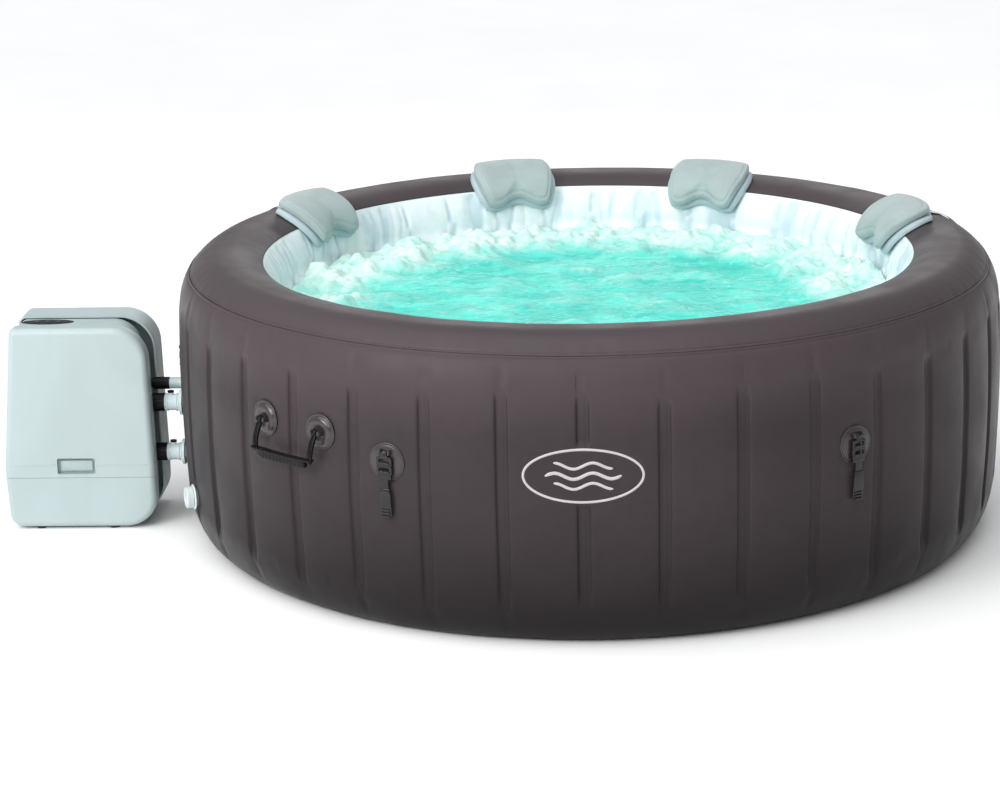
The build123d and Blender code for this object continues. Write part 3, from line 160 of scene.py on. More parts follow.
def vinyl(name, colour, low=0.36, high=0.5, grain=0.00008, patch=0.12, gloss=0.5,
          warm=None, sheen_and_painted_light=0.0, crease_shade=None):
    """Laminated vinyl: a fine pebbled grain, soft blotches of tone and uneven gloss; where asked,
    painted shade low down, a painted highlight high up, and painted shade in its grooves.
    """
    g = Graph(name)
    blotch = g.ramp(g.noise(2.6, 4, 0.55), 0.35, 0.65)
    tone = g.mix(blotch, shade(colour, 1 - patch), shade(colour, 1 + patch))
    if warm:
        tone = g.mix(g.ramp(g.noise(1.3, 2), 0.5, 0.75, 0.0, 0.35), tone, warm)
    tone = g.mix(g.ramp(g.noise(38, 3, 0.6), 0.4, 0.75, 0.0, 0.35), tone, shade(colour, 0.8))
    if sheen_and_painted_light:
        # Painted shade darkens the vinyl towards the ground, and a painted highlight lightens it
        # from 0.45 m up.
        tone = g.mix(g.ramp(g.height(), 0.0, 0.38, 0.9, 0.0), tone, shade(colour, 0.25))
        tone = g.mix(g.ramp(g.height(), 0.45, 0.60, 0.0, 0.6), tone, shade(colour, 1.9))
    # Painted shade: darker where the relief sinks into grooves and pleats.
    if crease_shade:
        tone = g.mix(g.ramp(g.attribute("fold_shade"), 0.3, 1.0, 0.0, 0.55), tone, crease_shade)
    g.put(Sheen_Weight=sheen_and_painted_light, Sheen_Roughness=0.35, Specular_IOR_Level=gloss)
    pebbles = g.bump(g.voronoi(620), grain, 0.5)
    weave = g.bump(g.noise(240, 2), grain, 0.6, pebbles)
    return g.finish(tone, g.ramp(g.noise(9, 3), 0.3, 0.7, low, high), weave)


def moulded(name, colour, low=0.3, high=0.45, grain=0.00004, scale=900, patch=0.06,
            coat=0.0, gloss=0.5):
    """Moulded plastic: a spark-eroded texture, with slight flow marks and worn gloss."""
    g = Graph(name)
    flow = g.ramp(g.noise(6, 3, 0.5, g.stretch((1, 1, 0.35)), 0.6), 0.35, 0.65)
    tone = g.mix(flow, shade(colour, 1 - patch), shade(colour, 1 + patch))
    tone = g.mix(g.ramp(g.noise(420, 1), 0.55, 0.8, 0.0, 0.25), tone, shade(colour, 0.86))
    g.put(Coat_Weight=coat, Coat_Roughness=0.12, Specular_IOR_Level=gloss)
    rough = g.ramp(g.noise(22, 4), 0.3, 0.7, low, high)
    return g.finish(tone, rough, g.bump(g.noise(scale, 2), grain, 0.8))


def coated_cloth(name, colour):
    """The headrests' soft coated fabric: a fine knit with a low sheen."""
    g = Graph(name)
    tone = g.mix(g.ramp(g.noise(14, 4), 0.35, 0.65), shade(colour, 0.93), shade(colour, 1.06))
    knit = g.voronoi(430, g.stretch((1, 1, 1.5)), 0.35)
    tone = g.mix(g.ramp(knit, 0.2, 0.75, 0.0, 0.45), tone, shade(colour, 0.84))
    g.put(Sheen_Weight=0.25, Sheen_Roughness=0.5)
    normal = g.bump(knit, 0.00025, 0.6, g.bump(g.noise(70, 3), 0.0008, 0.35))
    return g.finish(tone, g.ramp(g.noise(60, 2), 0.3, 0.7, 0.55, 0.72), normal)


def brushed(name, colour):
    """Metal with fine lines drawn along it."""
    g = Graph(name)
    lines = g.noise(60, 3, 0.6, g.stretch((0.2, 6, 6)))
    tone = g.mix(g.ramp(lines, 0.3, 0.7), shade(colour, 0.85), shade(colour, 1.1))
    g.put(Metallic=1.0)
    return g.finish(tone, g.ramp(lines, 0.3, 0.7, 0.25, 0.42), g.bump(lines, 0.00003, 0.5))


def water_surface(name):
    """Aerated pool water: turquoise where calm, pale green foam where the bubbles rise."""
    g = Graph(name)
    foam = g.attribute("foam")
    drift = g.ramp(g.noise(5.5, 4, 0.6, g.stretch((1, 2.2, 1)), 0.8), 0.36, 0.66)
    streaks = g.ramp(g.noise(16, 3, 0.6, g.stretch((1, 2.4, 1))), 0.55, 0.72, 0.0, 0.55)
    glints = g.ramp(g.noise(48, 4, 0.7), 0.58, 0.74, 0.0, 0.5)
    calm = g.mix(drift, (0.050, 0.58, 0.49), (0.105, 0.74, 0.62))
    calm = g.mix(streaks, calm, (0.035, 0.50, 0.49))
    calm = g.mix(glints, calm, (0.50, 0.97, 0.90))
    froth = g.mix(g.ramp(g.noise(60, 5, 0.7), 0.34, 0.66), (0.54, 0.82, 0.75), (0.74, 0.88, 0.83))
    froth = g.mix(g.ramp(g.noise(19, 3), 0.52, 0.7, 0.0, 0.6), froth, (0.42, 0.80, 0.73))
    g.put(Specular_IOR_Level=0.2, IOR=1.33)
    ripple = g.bump(g.noise(22, 4, 0.6, g.stretch((1, 1.8, 1))), 0.007, 0.5)
    normal = g.bump(g.noise(110, 3, 0.6), 0.002, 0.5, ripple)
    return g.finish(g.mix(foam, calm, froth), g.ramp(foam, 0.0, 1.0, 0.14, 0.45), normal)


def smoked_gloss(name):
    """The display's dark window."""
    g = Graph(name)
    tone = g.mix(g.ramp(g.noise(30, 3), 0.4, 0.6), (0.002, 0.004, 0.006), (0.005, 0.008, 0.011))
    g.put(Specular_IOR_Level=0.06)
    normal = g.bump(g.noise(70, 2), 0.00002, 0.5)
    return g.finish(tone, g.ramp(g.noise(45, 4), 0.35, 0.7, 0.06, 0.16), normal)


def paper(name):
    """The filter cartridge's pleats."""
    g = Graph(name)
    pleat = g.noise(9, 2, 0.5, g.stretch((0.2, 9, 9)))
    tone = g.mix(g.ramp(pleat, 0.4, 0.6), (0.62, 0.64, 0.60), (0.88, 0.88, 0.84))
    return g.finish(tone, g.ramp(g.noise(80, 2), 0.3, 0.7, 0.75, 0.9), g.bump(pleat, 0.002, 0.8))


BROWN = (0.0435, 0.0345, 0.0375)
FITTING = (0.56, 0.66, 0.68)
VALVE = (0.60, 0.66, 0.67)
MATS = {
    # The wall and rim carry painted light by height; the wall's grooves and the liner's pleats
    # carry painted shade.
    "wall": vinyl("wall_vinyl", BROWN, 0.36, 0.48, patch=0.08, gloss=0.12,
                  warm=(0.052, 0.037, 0.041), sheen_and_painted_light=0.03, crease_shade=shade(BROWN, 0.62)),
    "rim": vinyl("rim_vinyl", shade(BROWN, 0.95), 0.38, 0.5, patch=0.08, gloss=0.20,
                 warm=(0.064, 0.046, 0.051), sheen_and_painted_light=0.05),
    "ground": vinyl("ground_vinyl", (0.036, 0.032, 0.034), 0.55, 0.7, 0.0001, 0.15),
    "liner": vinyl("liner_vinyl", (0.85, 0.92, 0.945), 0.32, 0.44, 0.00005, 0.03,
                   crease_shade=(0.46, 0.62, 0.71)),
    "web": vinyl("web_vinyl", (0.6, 0.62, 0.63), 0.45, 0.6),
    "patch": vinyl("patch_vinyl", (0.036, 0.028, 0.030), 0.2, 0.3, 0.00004, 0.08, 0.55),
    "print": vinyl("emblem_print", (0.50, 0.465, 0.47), 0.4, 0.52, 0.00004, 0.05),
    "black": moulded("moulded_black", (0.007, 0.006, 0.007), 0.24, 0.38, patch=0.15, gloss=0.16),
    "clip": moulded("clip_plastic", (0.009, 0.008, 0.010), 0.12, 0.22, 0.00002, 900, 0.15,
                    gloss=0.42),
    "fitting": moulded("fitting_plastic", FITTING, 0.28, 0.4, 0.00003, 800, 0.07, 0.1),
    "valve": moulded("valve_plastic", VALVE, 0.28, 0.4, 0.00003, 800, 0.07, 0.1),
    "casing": moulded("casing_plastic", (0.41, 0.492, 0.50), 0.38, 0.5, 0.00006, 1100, 0.035),
    "core": moulded("core_plastic", (0.37, 0.455, 0.47), 0.4, 0.55, 0.00005),
    "rubber": moulded("foot_rubber", (0.025, 0.025, 0.026), 0.7, 0.85, 0.0001, 500, 0.2),
    "button": moulded("button_plastic", (0.035, 0.045, 0.05), 0.35, 0.5, 0.00003, 900, 0.1),
    "motor": moulded("motor_paint", (0.10, 0.10, 0.11), 0.4, 0.6, 0.0001, 500, 0.2),
    "board": moulded("circuit_board", (0.02, 0.16, 0.07), 0.4, 0.55, 0.00004, 300, 0.25),
    "steel": brushed("fastener_steel", (0.62, 0.62, 0.63)),
    "gloss": smoked_gloss("display_gloss"),
    "pad": coated_cloth("headrest_cloth", (0.37, 0.45, 0.45)),
    "edge": coated_cloth("headrest_edge", (0.43, 0.53, 0.57)),
    "strap": coated_cloth("strap_webbing", (0.66, 0.70, 0.70)),
    "paper": paper("filter_paper"),
    "water": water_surface("pool_water"),
}
# The CAD nodes that are shown as they are, by material.
KEPT = {
    "ground": "ground_skin",
    "liner": "basin_floor air_channel",
    "web": "web_beams",
    "casing": "front_shell lower_cover rear_shell",
    "core": "core_frame volute blower_housing air_duct",
    "rubber": "rubber_feet",
    "steel": "shell_screws heater_tube",
    "gloss": "display_lens",
    "button": "button_power button_heat button_bubbles",
    "fitting": "stop_valves air_inlet",
    "black": "inflation_stem cable_gland stop_lever_inlet stop_lever_outlet coupling_stubs "
             "union_nut_inlet union_nut_outlet union_nut_air impeller blower_fan",
    "valve": "filter_housing filter_cap",
    "paper": "filter_cartridge",
    "motor": "pump_motor",
    "board": "control_board",
}
for key, names in KEPT.items():
    for node_name in names.split():
        mesh = nodes[node_name].data
        mesh.materials.clear()
        mesh.materials.append(MATS[key])


# --- Mesh helpers ---------------------------------------------------------------------------------
def new_piece(name, points, faces, key, body, slot=None):
    """A mesh piece from points in millimetres, riding on a body."""
    mesh = bpy.data.meshes.new(name)
    mesh.from_pydata([tuple(p) for p in np.asarray(points, float) * MM], [], faces)
    mesh.validate()
    mesh.polygons.foreach_set("use_smooth", [True] * len(mesh.polygons))
    mesh.materials.append(MATS[key])
    piece = bpy.data.objects.new(name, mesh)
    bpy.context.scene.collection.objects.link(piece)
    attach(piece, body)
    return piece


def grid_faces(rows, cols, wrap_cols=True, wrap_rows=False, start=0):
    """Quads over a grid of points stored row by row."""
    last_col = cols if wrap_cols else cols - 1
    last_row = rows if wrap_rows else rows - 1
    i, j = np.meshgrid(np.arange(last_row), np.arange(last_col), indexing="ij")
    i2, j2 = (i + 1) % rows, (j + 1) % cols
    quads = np.stack([i * cols + j, i * cols + j2, i2 * cols + j2, i2 * cols + j], -1)
    return (quads.reshape(-1, 4) + start).tolist()


def join(parts):
    """One list of points and faces from several."""
    points, faces, count = [], [], 0
    for p, f in parts:
        points.extend([tuple(v) for v in p])
        faces.extend([[k + count for k in face] for face in f])
        count += len(p)
    return points, faces


def place(parts, origin, x_dir, y_dir, z_dir):
    """Local points carried into the row frame."""
    points, faces = parts
    m = np.array([x_dir, y_dir, z_dir], float)
    return np.asarray(points, float) @ m + np.asarray(origin, float), faces


def moved(part, x=0.0, y=0.0, z=0.0):
    """A part shifted."""
    return [(px + x, py + y, pz + z) for px, py, pz in part[0]], part[1]


def lying(part, x=0.0, y=0.0, z=0.0):
    """A part shifted, with its own z axis laid along x."""
    return [(pz + x, px + y, py + z) for px, py, pz in part[0]], part[1]


def turned(points, angle):
    """Points turned about the tub's axis, by an angle in degrees."""
    c, s = cos(radians(angle)), sin(radians(angle))
    return np.asarray(points, float) @ np.array([[c, s, 0], [-s, c, 0], [0, 0, 1]])


def wall_axes(angle, height, radius=WALL_FACE):
    """Origin and axes against the outer wall: round the wall, up, outward."""
    a = radians(angle)
    return (
        (radius * cos(a), radius * sin(a), height),
        (-sin(a), cos(a), 0.0),
        (0.0, 0.0, 1.0),
        (cos(a), sin(a), 0.0),
    )


def lathe(profile, around=64, closed=True, wobble=None):
    """Points (r, z) turned about local z. A closed profile makes a closed solid."""
    points = []
    for k, (r, z) in enumerate(profile):
        for i in range(around):
            t = 2 * pi * i / around
            rr = r + (wobble(k, t, r, z) if wobble else 0.0)
            points.append((rr * cos(t), rr * sin(t), z))
    faces = grid_faces(len(profile), around, True, closed)
    if not closed:
        faces.append(list(range(around - 1, -1, -1)))
        top = (len(profile) - 1) * around
        faces.append([top + i for i in range(around)])
    return points, faces


def round_profile(corners, steps=4):
    """A (r, z, radius) polyline with its corners rounded, for lathes and lofts."""
    out = []
    n = len(corners)
    for k, (x, y, r) in enumerate(corners):
        if r <= 0:
            out.append((x, y))
            continue
        p = Vector((x, y))
        a = Vector(corners[k - 1][:2]) - p
        b = Vector(corners[(k + 1) % n][:2]) - p
        cut = min(r, a.length * 0.48, b.length * 0.48)
        a, b = a.normalized() * cut, b.normalized() * cut
        for i in range(steps + 1):
            t = i / steps
            q = p + a * (1 - t) ** 2 + b * t**2
            out.append((q.x, q.y))
    return out


def rounded_rect(width, height, radius, steps=4):
    w, h = width / 2, height / 2
    corners = [(x, y, radius) for x, y in ((-w, -h), (w, -h), (w, h), (-w, h))]
    return round_profile(corners, steps)


def outward(loop):
    """The points of a closed 2-D loop and the normals that point out of it."""
    pts = np.array(loop, float)
    after = np.roll(pts, -1, 0)
    along = after - np.roll(pts, 1, 0)
    along /= np.maximum(np.hypot(*along.T), 1e-9)[:, None]
    area = 0.5 * np.sum(pts[:, 0] * after[:, 1] - after[:, 0] * pts[:, 1])
    return pts, np.stack([along[:, 1], -along[:, 0]], 1) * (1 if area > 0 else -1)


def loft(sections):
    """A closed skin over equal-length loops of 3-D points."""
    n = len(sections[0])
    points = [tuple(p) for loop in sections for p in loop]
    faces = grid_faces(len(sections), n, True, False)
    faces.append(list(range(n - 1, -1, -1)))
    faces.append([(len(sections) - 1) * n + i for i in range(n)])
    return points, faces


def slab(outline, low, high, b=0.8, hollow=None):
    """A flat plate from a 2-D outline between two heights, its edges rounded by b, and a hole."""
    rings = [(-b, low), (-0.3 * b, low + 0.3 * b), (0, low + b)]
    rings += [(0, high - b), (-0.3 * b, high - 0.3 * b), (-b, high)]
    pts, normal = outward(outline)
    loops = [[(x, y, z) for x, y in pts + normal * shift] for shift, z in rings]
    if hollow is None:
        return loft(loops)
    pts, normal = outward(hollow)
    loops += [[(x, y, z) for x, y in pts - normal * shift] for shift, z in reversed(rings)]
    return [p for loop in loops for p in loop], grid_faces(len(loops), len(pts), True, True)


def sweep(path, width_dir, outline, scales=None):
    """A 2-D outline (across, out) swept along a path; width_dir stays its first axis."""
    path = np.array(path, float)
    w = np.array(width_dir, float)
    sections = []
    for k, p in enumerate(path):
        a = path[min(k + 1, len(path) - 1)] - path[max(k - 1, 0)]
        a /= np.linalg.norm(a)
        across = w - a * np.dot(w, a)
        across /= np.linalg.norm(across)
        out = np.cross(a, across)
        sx, sy = scales[k] if scales else (1, 1)
        sections.append([p + across * x * sx + out * y * sy for x, y in outline])
    return loft(sections)


def field(points, scale, seed, octaves=2):
    """Fractal noise at points in millimetres, about -1 to 1; scale is the size of its features."""
    out = np.empty(len(points))
    offset = Vector((seed * 17.3, seed * 5.1, seed * 9.7))
    for k, p in enumerate(points):
        v = Vector(p) / scale + offset
        total, amp, f = 0.0, 1.0, 1.0
        for _ in range(octaves):
            total += amp * noise.noise(v * f)
            amp, f = amp * 0.5, f * 2.03
        out[k] = total
    return out


# --- The tub's skin -------------------------------------------------------------------------------
def outline_points():
    """The air ring's outline from the ground over the rim to the floor: points, normals, run."""
    low = (TUB_R - LOW_R, LOW_Z)
    top_out = (TUB_R - OUT_R, TUB_TOP - OUT_Z)
    mid, half = (low[1] + top_out[1]) / 2, (top_out[1] - low[1]) / 2

    def arc(centre, r, z, start, count):
        """A quarter ellipse from an angle on."""
        turns = np.linspace(start, start + pi / 2, count)
        return [(centre[0] + r * cos(t), centre[1] + z * sin(t)) for t in turns]

    pts = arc(low, LOW_R, LOW_Z, -pi / 2, 200)
    for z in np.linspace(low[1], top_out[1], 400)[1:]:
        pts.append((TUB_R + BULGE * (1 - ((z - mid) / half) ** 2), z))
    pts += arc(top_out, OUT_R, OUT_Z, 0, 260)[1:]
    pts += [(r, TUB_TOP) for r in np.linspace(top_out[0], RIM_C[0], 16)[1:]]
    pts += arc(RIM_C, IN_R, IN_Z, pi / 2, 260)[1:]
    pts += [(BASIN_R, z) for z in np.linspace(RIM_C[1], 6.5, 500)[1:]]
    pts = np.array(pts)
    along = np.gradient(pts, axis=0)
    along /= np.hypot(*along.T)[:, None]
    normals = np.stack([along[:, 1], -along[:, 0]], 1)
    run = np.concatenate([[0], np.cumsum(np.hypot(*np.diff(pts, axis=0).T))])
    return pts, normals, run


OUTLINE, OUT_NORMAL, RUN = outline_points()
TOP_INDEX = int(np.argmax(OUTLINE[:, 1] >= TUB_TOP - 1e-6))


def run_at(z, inner=False):
    """Distance along the outline where it passes height z, outside or inside the rim."""
    if inner:
        k = TOP_INDEX + int(np.argmax(OUTLINE[TOP_INDEX:, 1] <= z))
    else:
        k = int(np.argmax(OUTLINE[:, 1] >= z))
    return RUN[k]


def outline_at(s):
    """Outline points and normals at distances s."""
    p = np.stack([np.interp(s, RUN, OUTLINE[:, k]) for k in (0, 1)], 1)
    n = np.stack([np.interp(s, RUN, OUT_NORMAL[:, k]) for k in (0, 1)], 1)
    return p, n / np.hypot(*n.T)[:, None]


def spaced(start, end, step, fine, fine_step, reach=8.0):
    """Distances from start to end at about step, closer together near the fine places."""
    s = [start]
    while s[-1] < end - 0.4 * step:
        near = min(abs(s[-1] - f) for f in fine)
        s.append(min(end, s[-1] + (fine_step if near < reach else step)))
    s[-1] = end
    return np.array(s)


def smooth(x):
    x = np.clip(x, 0, 1)
    return x * x * (3 - 2 * x)


def bell(x, width):
    """1 at zero, falling off smoothly on both sides."""
    return np.exp(-((x / width) ** 2))


def panel_columns():
    """Angles round the tub, close together across each weld strip."""
    near = [0, 2.5, 5, 7, 8.5, 9.7, 11, 12.3, 13.8, 16, 20]
    half = np.array(near + list(np.linspace(27, pi * TUB_R / PANELS, 9)))
    across = np.concatenate([-half[:0:-1], half[:-1]])
    return np.sort(np.concatenate([k * PITCH + across / TUB_R for k in range(PANELS)]))


def strip_distance(theta):
    """Signed distance round the wall, in millimetres, to the nearest weld strip."""
    return (np.mod(theta + PITCH / 2, PITCH) - PITCH / 2) * TUB_R


def wall_relief(theta, z):
    """How far the filled wall stands off the outline: welded strips, crowned panels, puckers."""
    across = strip_distance(theta)
    x = np.abs(across)
    number = np.round(np.mod(theta, 2 * pi) / PITCH)
    low_end = 78 + 10 * np.sin(number * 2.4)
    top_end = 566 + 9 * np.sin(number * 1.7 + 1.0)
    reach = smooth((z - low_end) / 45) * smooth((top_end - z) / 34)
    strip = smooth((17.0 - x) / 8.5)
    weld = bell(x - 12.0, 1.5)
    crown = 1 - np.clip((85.5 - x) / 70, 0, 1) ** 2.2
    depth = 6.8 * strip - 0.8 * strip * bell(x, 5.0) + 0.9 * weld
    relief = -depth * reach + 2.8 * (crown - 0.3) * reach - 0.6 * (1 - reach)
    pucker = bell(z - 588, 26) + 0.9 * bell(z - 62, 22)
    relief -= 2.3 * pucker * bell(x, 15 + 5 * np.sin(number * 3.1))
    fan = np.sin(across / 9.5 + number * 1.3 + 0.4 * np.sign(across))
    relief -= 0.55 * pucker * (1 + fan) * bell(x, 46)
    sideways = (np.mod(theta + 1.5 * pi, 2 * pi) - pi) * FITTING_R / (EMBLEM_HALF_WIDTH + 5)
    beyond = smooth((np.hypot(sideways, (z - EMBLEM_Z) / (EMBLEM_HALF_HEIGHT + 5)) - 1.0) / 0.14)
    return relief * beyond + 1.7 * (1 - beyond)


def wall_ripple(flat):
    """The filled vinyl's slow unevenness, at points in millimetres."""
    return 1.3 * field(flat, 210, 1.0) + 0.35 * field(flat * (1, 1, 0.45), 60, 2.0)


def seam_relief(s):
    """The seam between wall and rim: a flat raised band between two fine creases."""
    d = np.abs(s - S_SEAM)
    return 0.35 * smooth((6.5 - d) / 2) - 1.5 * bell(d - 6.5, 1.4)


def ring_piece(name, s, theta, relief, key, slot, holes=()):
    """A piece of skin over the outline's run s and the angles theta, moved along its normals.

    The relief gives how far each point is moved, and how deep in a fold it lies, which the material
    turns into painted shade."""
    p, n = outline_at(s)
    tt, ss = np.meshgrid(theta, s)
    pp, nn = np.repeat(p[:, None], len(theta), 1), np.repeat(n[:, None], len(theta), 1)
    flat = np.stack([pp[..., 0] * np.cos(tt), pp[..., 0] * np.sin(tt), pp[..., 1]], -1)
    d, fold_shade = relief(tt, ss, pp[..., 1], flat.reshape(-1, 3))
    r = pp[..., 0] + nn[..., 0] * d
    z = np.maximum(pp[..., 1] + nn[..., 1] * d, 0.2)
    points = np.stack([r * np.cos(tt), r * np.sin(tt), z], -1).reshape(-1, 3)
    quads = np.array(grid_faces(len(s), len(theta)))
    if holes:
        centres = points[quads].mean(1)
        keep = np.ones(len(quads), bool)
        for point, radius in holes:
            keep &= np.linalg.norm(centres - np.array(point), axis=1) > radius
        quads = quads[keep]
    piece = new_piece(name, points, quads.tolist(), key, "tub", slot)
    # The fold mask, for the painted shade in the material.
    layer = piece.data.attributes.new("fold_shade", "FLOAT", "POINT")
    layer.data.foreach_set("value", np.clip(fold_shade, 0, 1).ravel().astype(np.float32))
    thick = piece.modifiers.new("skin", "SOLIDIFY")
    thick.thickness = SKIN * MM
    thick.offset = -1.0
    thick.use_even_offset = False
    return piece


def noise_grid(flat, scale, seed, shape, octaves=2):
    return field(flat, scale, seed, octaves).reshape(shape)


S_SEAM = run_at(SEAM_Z)
S_COLOUR = run_at(COLOUR_Z, True)
# Where pipes and valves pass through the wall, and where fittings are welded on to it.
wall_holes = [
    (wall_axes(*VALVES["drain"][:2], 981)[0], 21.0),
    (wall_axes(*VALVES["inflation"][:2], 986)[0], 19.0),
    ((-985.0, -32.0, 338.0), 13.0),
]
wall_holes += [((-TUB_R - 4, PIPE_Y, z), 18.0) for z in PIPE_Z.values()]
fitted = [
    (angle + side * HANDLE_HALF_ANGLE, HANDLE_Z, HANDLE_PATCH)
    for angle in HANDLES.values()
    for side in (-1, 1)
]
fitted += [(angle, CLIP_Z, CLIP_PATCH) for angle in CLIPS]
fitted += [valve[:3] for valve in VALVES.values()]


def relief_wall(tt, ss, z, flat):
    """The wall's panels, drawn in round the fittings, and a mask for painted shade in the grooves,
    strongest along the weld lines.
    """
    d = wall_relief(tt, z) + seam_relief(ss) + wall_ripple(flat).reshape(tt.shape)
    for angle, height, radius in fitted:
        round_wall = ((tt - radians(angle) + pi) % (2 * pi) - pi) * FITTING_R
        away = np.hypot(round_wall, z - height) - radius
        d = d * smooth((away + 4) / 24) - 1.7 * bell(away - 2.5, 2.2)
    # Painted shade mask: the grooves, and most of all the weld lines along the strips.
    weld_line_shade = bell(np.abs(strip_distance(tt)) - 13.5, 2.6)
    return d, -d / 20.0 + 0.75 * weld_line_shade * smooth(-(d + 1.5) / 2.5)


def relief_rim(tt, ss, z, flat):
    """The rim is tugged into fine waves along both its seams."""
    d = seam_relief(ss)
    soft = noise_grid(flat, 170, 3.0, tt.shape)
    tug = np.sin(tt * 97 + 3 * np.sin(tt * 13)) * np.sin(tt * 41 + 1.0)
    inner = bell(S_COLOUR - ss, 26)
    outer = bell(ss - S_SEAM, 30)
    d = d - 0.9 * (1 + soft) - 0.5 * inner * (1 + tug) - 0.7 * outer * (1 + tug)
    fade = smooth((S_COLOUR - ss) / 24)
    return d * fade - 0.7 * (1 - fade), 0 * d


# The liner's pleats: angle, width, depth, foot, slant and bend of each.
folds = [
    (
        rng.uniform(-pi, pi),
        rng.uniform(5.0, 13.0),
        rng.uniform(1.2, 5.0) * (1.0 if rng.random() < 0.75 else 1.7),
        rng.uniform(250.0, 560.0),
        rng.uniform(-0.09, 0.09),
        rng.uniform(0.6, 1.6),
    )
    for _ in range(230)
]


def relief_liner(tt, ss, z, flat):
    """The liner bellies in between the webs below, and is gathered into pleats above them."""
    x = strip_distance(tt) * BASIN_R / TUB_R
    below = smooth((WEB_TOP - 2 - z) / 40) * smooth((z - 12) / 50)
    top = smooth((652 - z) / 26)
    dent = top * (5.5 * bell(x, 5.0) + 2.0 * bell(x, 24.0))
    up = z[:, 0]
    for at, width, depth, foot, slant, bend in folds:
        shift = at + slant * (up - 600) / BASIN_R + 0.012 * np.sin(up / 60 * bend + at * 9)
        gap = (tt[0][None, :] - shift[:, None] + pi) % (2 * pi) - pi
        envelope = smooth((up - foot) / 90) * smooth((654 - up) / 12)
        dent += depth * np.exp(-np.abs(gap) * BASIN_R / width) * envelope[:, None]
    soft = noise_grid(flat * (1, 1, 0.4), 48, 4.0, tt.shape)
    dent += 1.2 * top * (1 + soft)
    d = -1.9 + 14.5 * below * (1 - np.exp(-np.abs(x / 17.0) ** 1.4)) - dent
    free = np.maximum(smooth((z - WEB_TOP - 3) / 22), smooth((np.abs(x) - 6) / 8))
    # Mask for painted shade in the pleats and along the webs.
    fold_shade = dent / 9.0 + 0.6 * below * bell(x, 7.0)
    return np.maximum(d, -2.4 - 8.0 * free), fold_shade


wall_runs = spaced(0.0, S_SEAM - 0.4, 7.0, (S_SEAM - 6.5, S_SEAM), 1.6)
wall_skin = ring_piece(
    "wall_skin", wall_runs, panel_columns(), relief_wall, "wall", "wall_vinyl", wall_holes
)
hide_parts("outer_wall")
rim_runs = spaced(S_SEAM + 0.4, S_COLOUR, 6.0, (S_SEAM, S_SEAM + 6.5, S_COLOUR), 1.6)
rim_columns = np.linspace(-pi, pi, 721)[:-1]
rim_skin = ring_piece("rim_skin", rim_runs, rim_columns, relief_rim, "rim", "wall_vinyl")
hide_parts("top_ring")
liner_runs = spaced(S_COLOUR - 2.5, RUN[-1], 6.5, (S_COLOUR,), 2.0)
liner_columns = np.linspace(-pi, pi, 1081)[:-1]
liner_holes = [((-BASIN_R - 6, PIPE_Y, z), 17.0) for z in PIPE_Z.values()]
liner_skin = ring_piece(
    "liner_skin", liner_runs, liner_columns, relief_liner, "liner", "liner_vinyl", liner_holes
)
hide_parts("inner_wall")


# --- Water ----------------------------------------------------------------------------------------
def water():
    """The pool's water: a closed body whose top carries waves and mounds of foam."""
    radii = np.concatenate([np.linspace(4, 400, 66), np.linspace(404, 733, 104)])
    theta = np.linspace(-pi, pi, 841)[:-1]
    rr, tt = np.meshgrid(radii, theta, indexing="ij")
    x, y = rr * np.cos(tt), rr * np.sin(tt)
    flat = np.stack([x, y, 0 * x], -1).reshape(-1, 3)
    broad = noise_grid(flat, 105, 5.0, x.shape)
    lumps = np.sqrt(noise_grid(flat, 52, 6.0, x.shape, 1) ** 2 + 0.02)
    beads = np.sqrt(noise_grid(flat, 22, 7.0, x.shape, 1) ** 2 + 0.012)
    back = smooth((np.sin(tt) + 0.55) / 1.0)
    edge = smooth((rr - 455 + 60 * broad) / 200)
    boil = np.clip(edge * (0.22 + 0.78 * back) + 0.25 * np.clip(broad, 0, 1), 0, 1)
    height = 6.0 * broad + 2.4 * noise_grid(flat * (1, 1.8, 1), 30, 9.0, x.shape)
    height += boil * (40 * lumps + 9 * beads + 15 * (broad + 0.35)) + 2.0 * beads
    patchy = smooth((noise_grid(flat, 58, 8.0, x.shape, 3) + 0.35) / 0.7)
    foam = np.clip(boil * (0.45 + 0.7 * patchy) + 0.5 * boil * smooth(lumps * 3), 0, 1)
    height = np.clip(height, -14, 46) * np.where(rr > 726, 0.8, 1.0)
    points = np.stack([x, y, WATER_LEVEL + height], -1).reshape(-1, 3).tolist()
    skirt = ((734.0, WATER_LEVEL - 30), (734.0, 300.0), (734.0, 40.0), (700.0, 28.5))
    for radius, depth in skirt:
        points.extend([(radius * cos(t), radius * sin(t), depth) for t in theta])
    n, rows = len(theta), len(radii) + len(skirt)
    faces = grid_faces(rows, n)
    faces.append(list(range(rows * n - 1, (rows - 1) * n - 1, -1)))
    faces.append(list(range(n - 1, -1, -1)))
    piece = new_piece("pool_water", points, faces, "water", "tub")
    layer = piece.data.attributes.new("foam", "FLOAT", "POINT")
    values = np.zeros(len(piece.data.vertices), np.float32)
    values[: foam.size] = foam.reshape(-1)
    layer.data.foreach_set("value", values)


water()


# --- Printed emblem: an oval line round three waves -----------------------------------------------
def wall_point(across, z, lift, angle=-90.0):
    """A point on the filled wall's surface, across mm round the wall from an angle."""
    theta = radians(angle) + across / FITTING_R
    run = np.interp(z, OUTLINE[:TOP_INDEX, 1], RUN[:TOP_INDEX])
    r = outline_at(np.array([run]))[0][0, 0]
    flat = np.array([[r * cos(theta), r * sin(theta), z]])
    r += float(wall_relief(np.array([theta]), np.array([z]))[0] + wall_ripple(flat)[0]) + lift
    return (r * cos(theta), r * sin(theta), z)


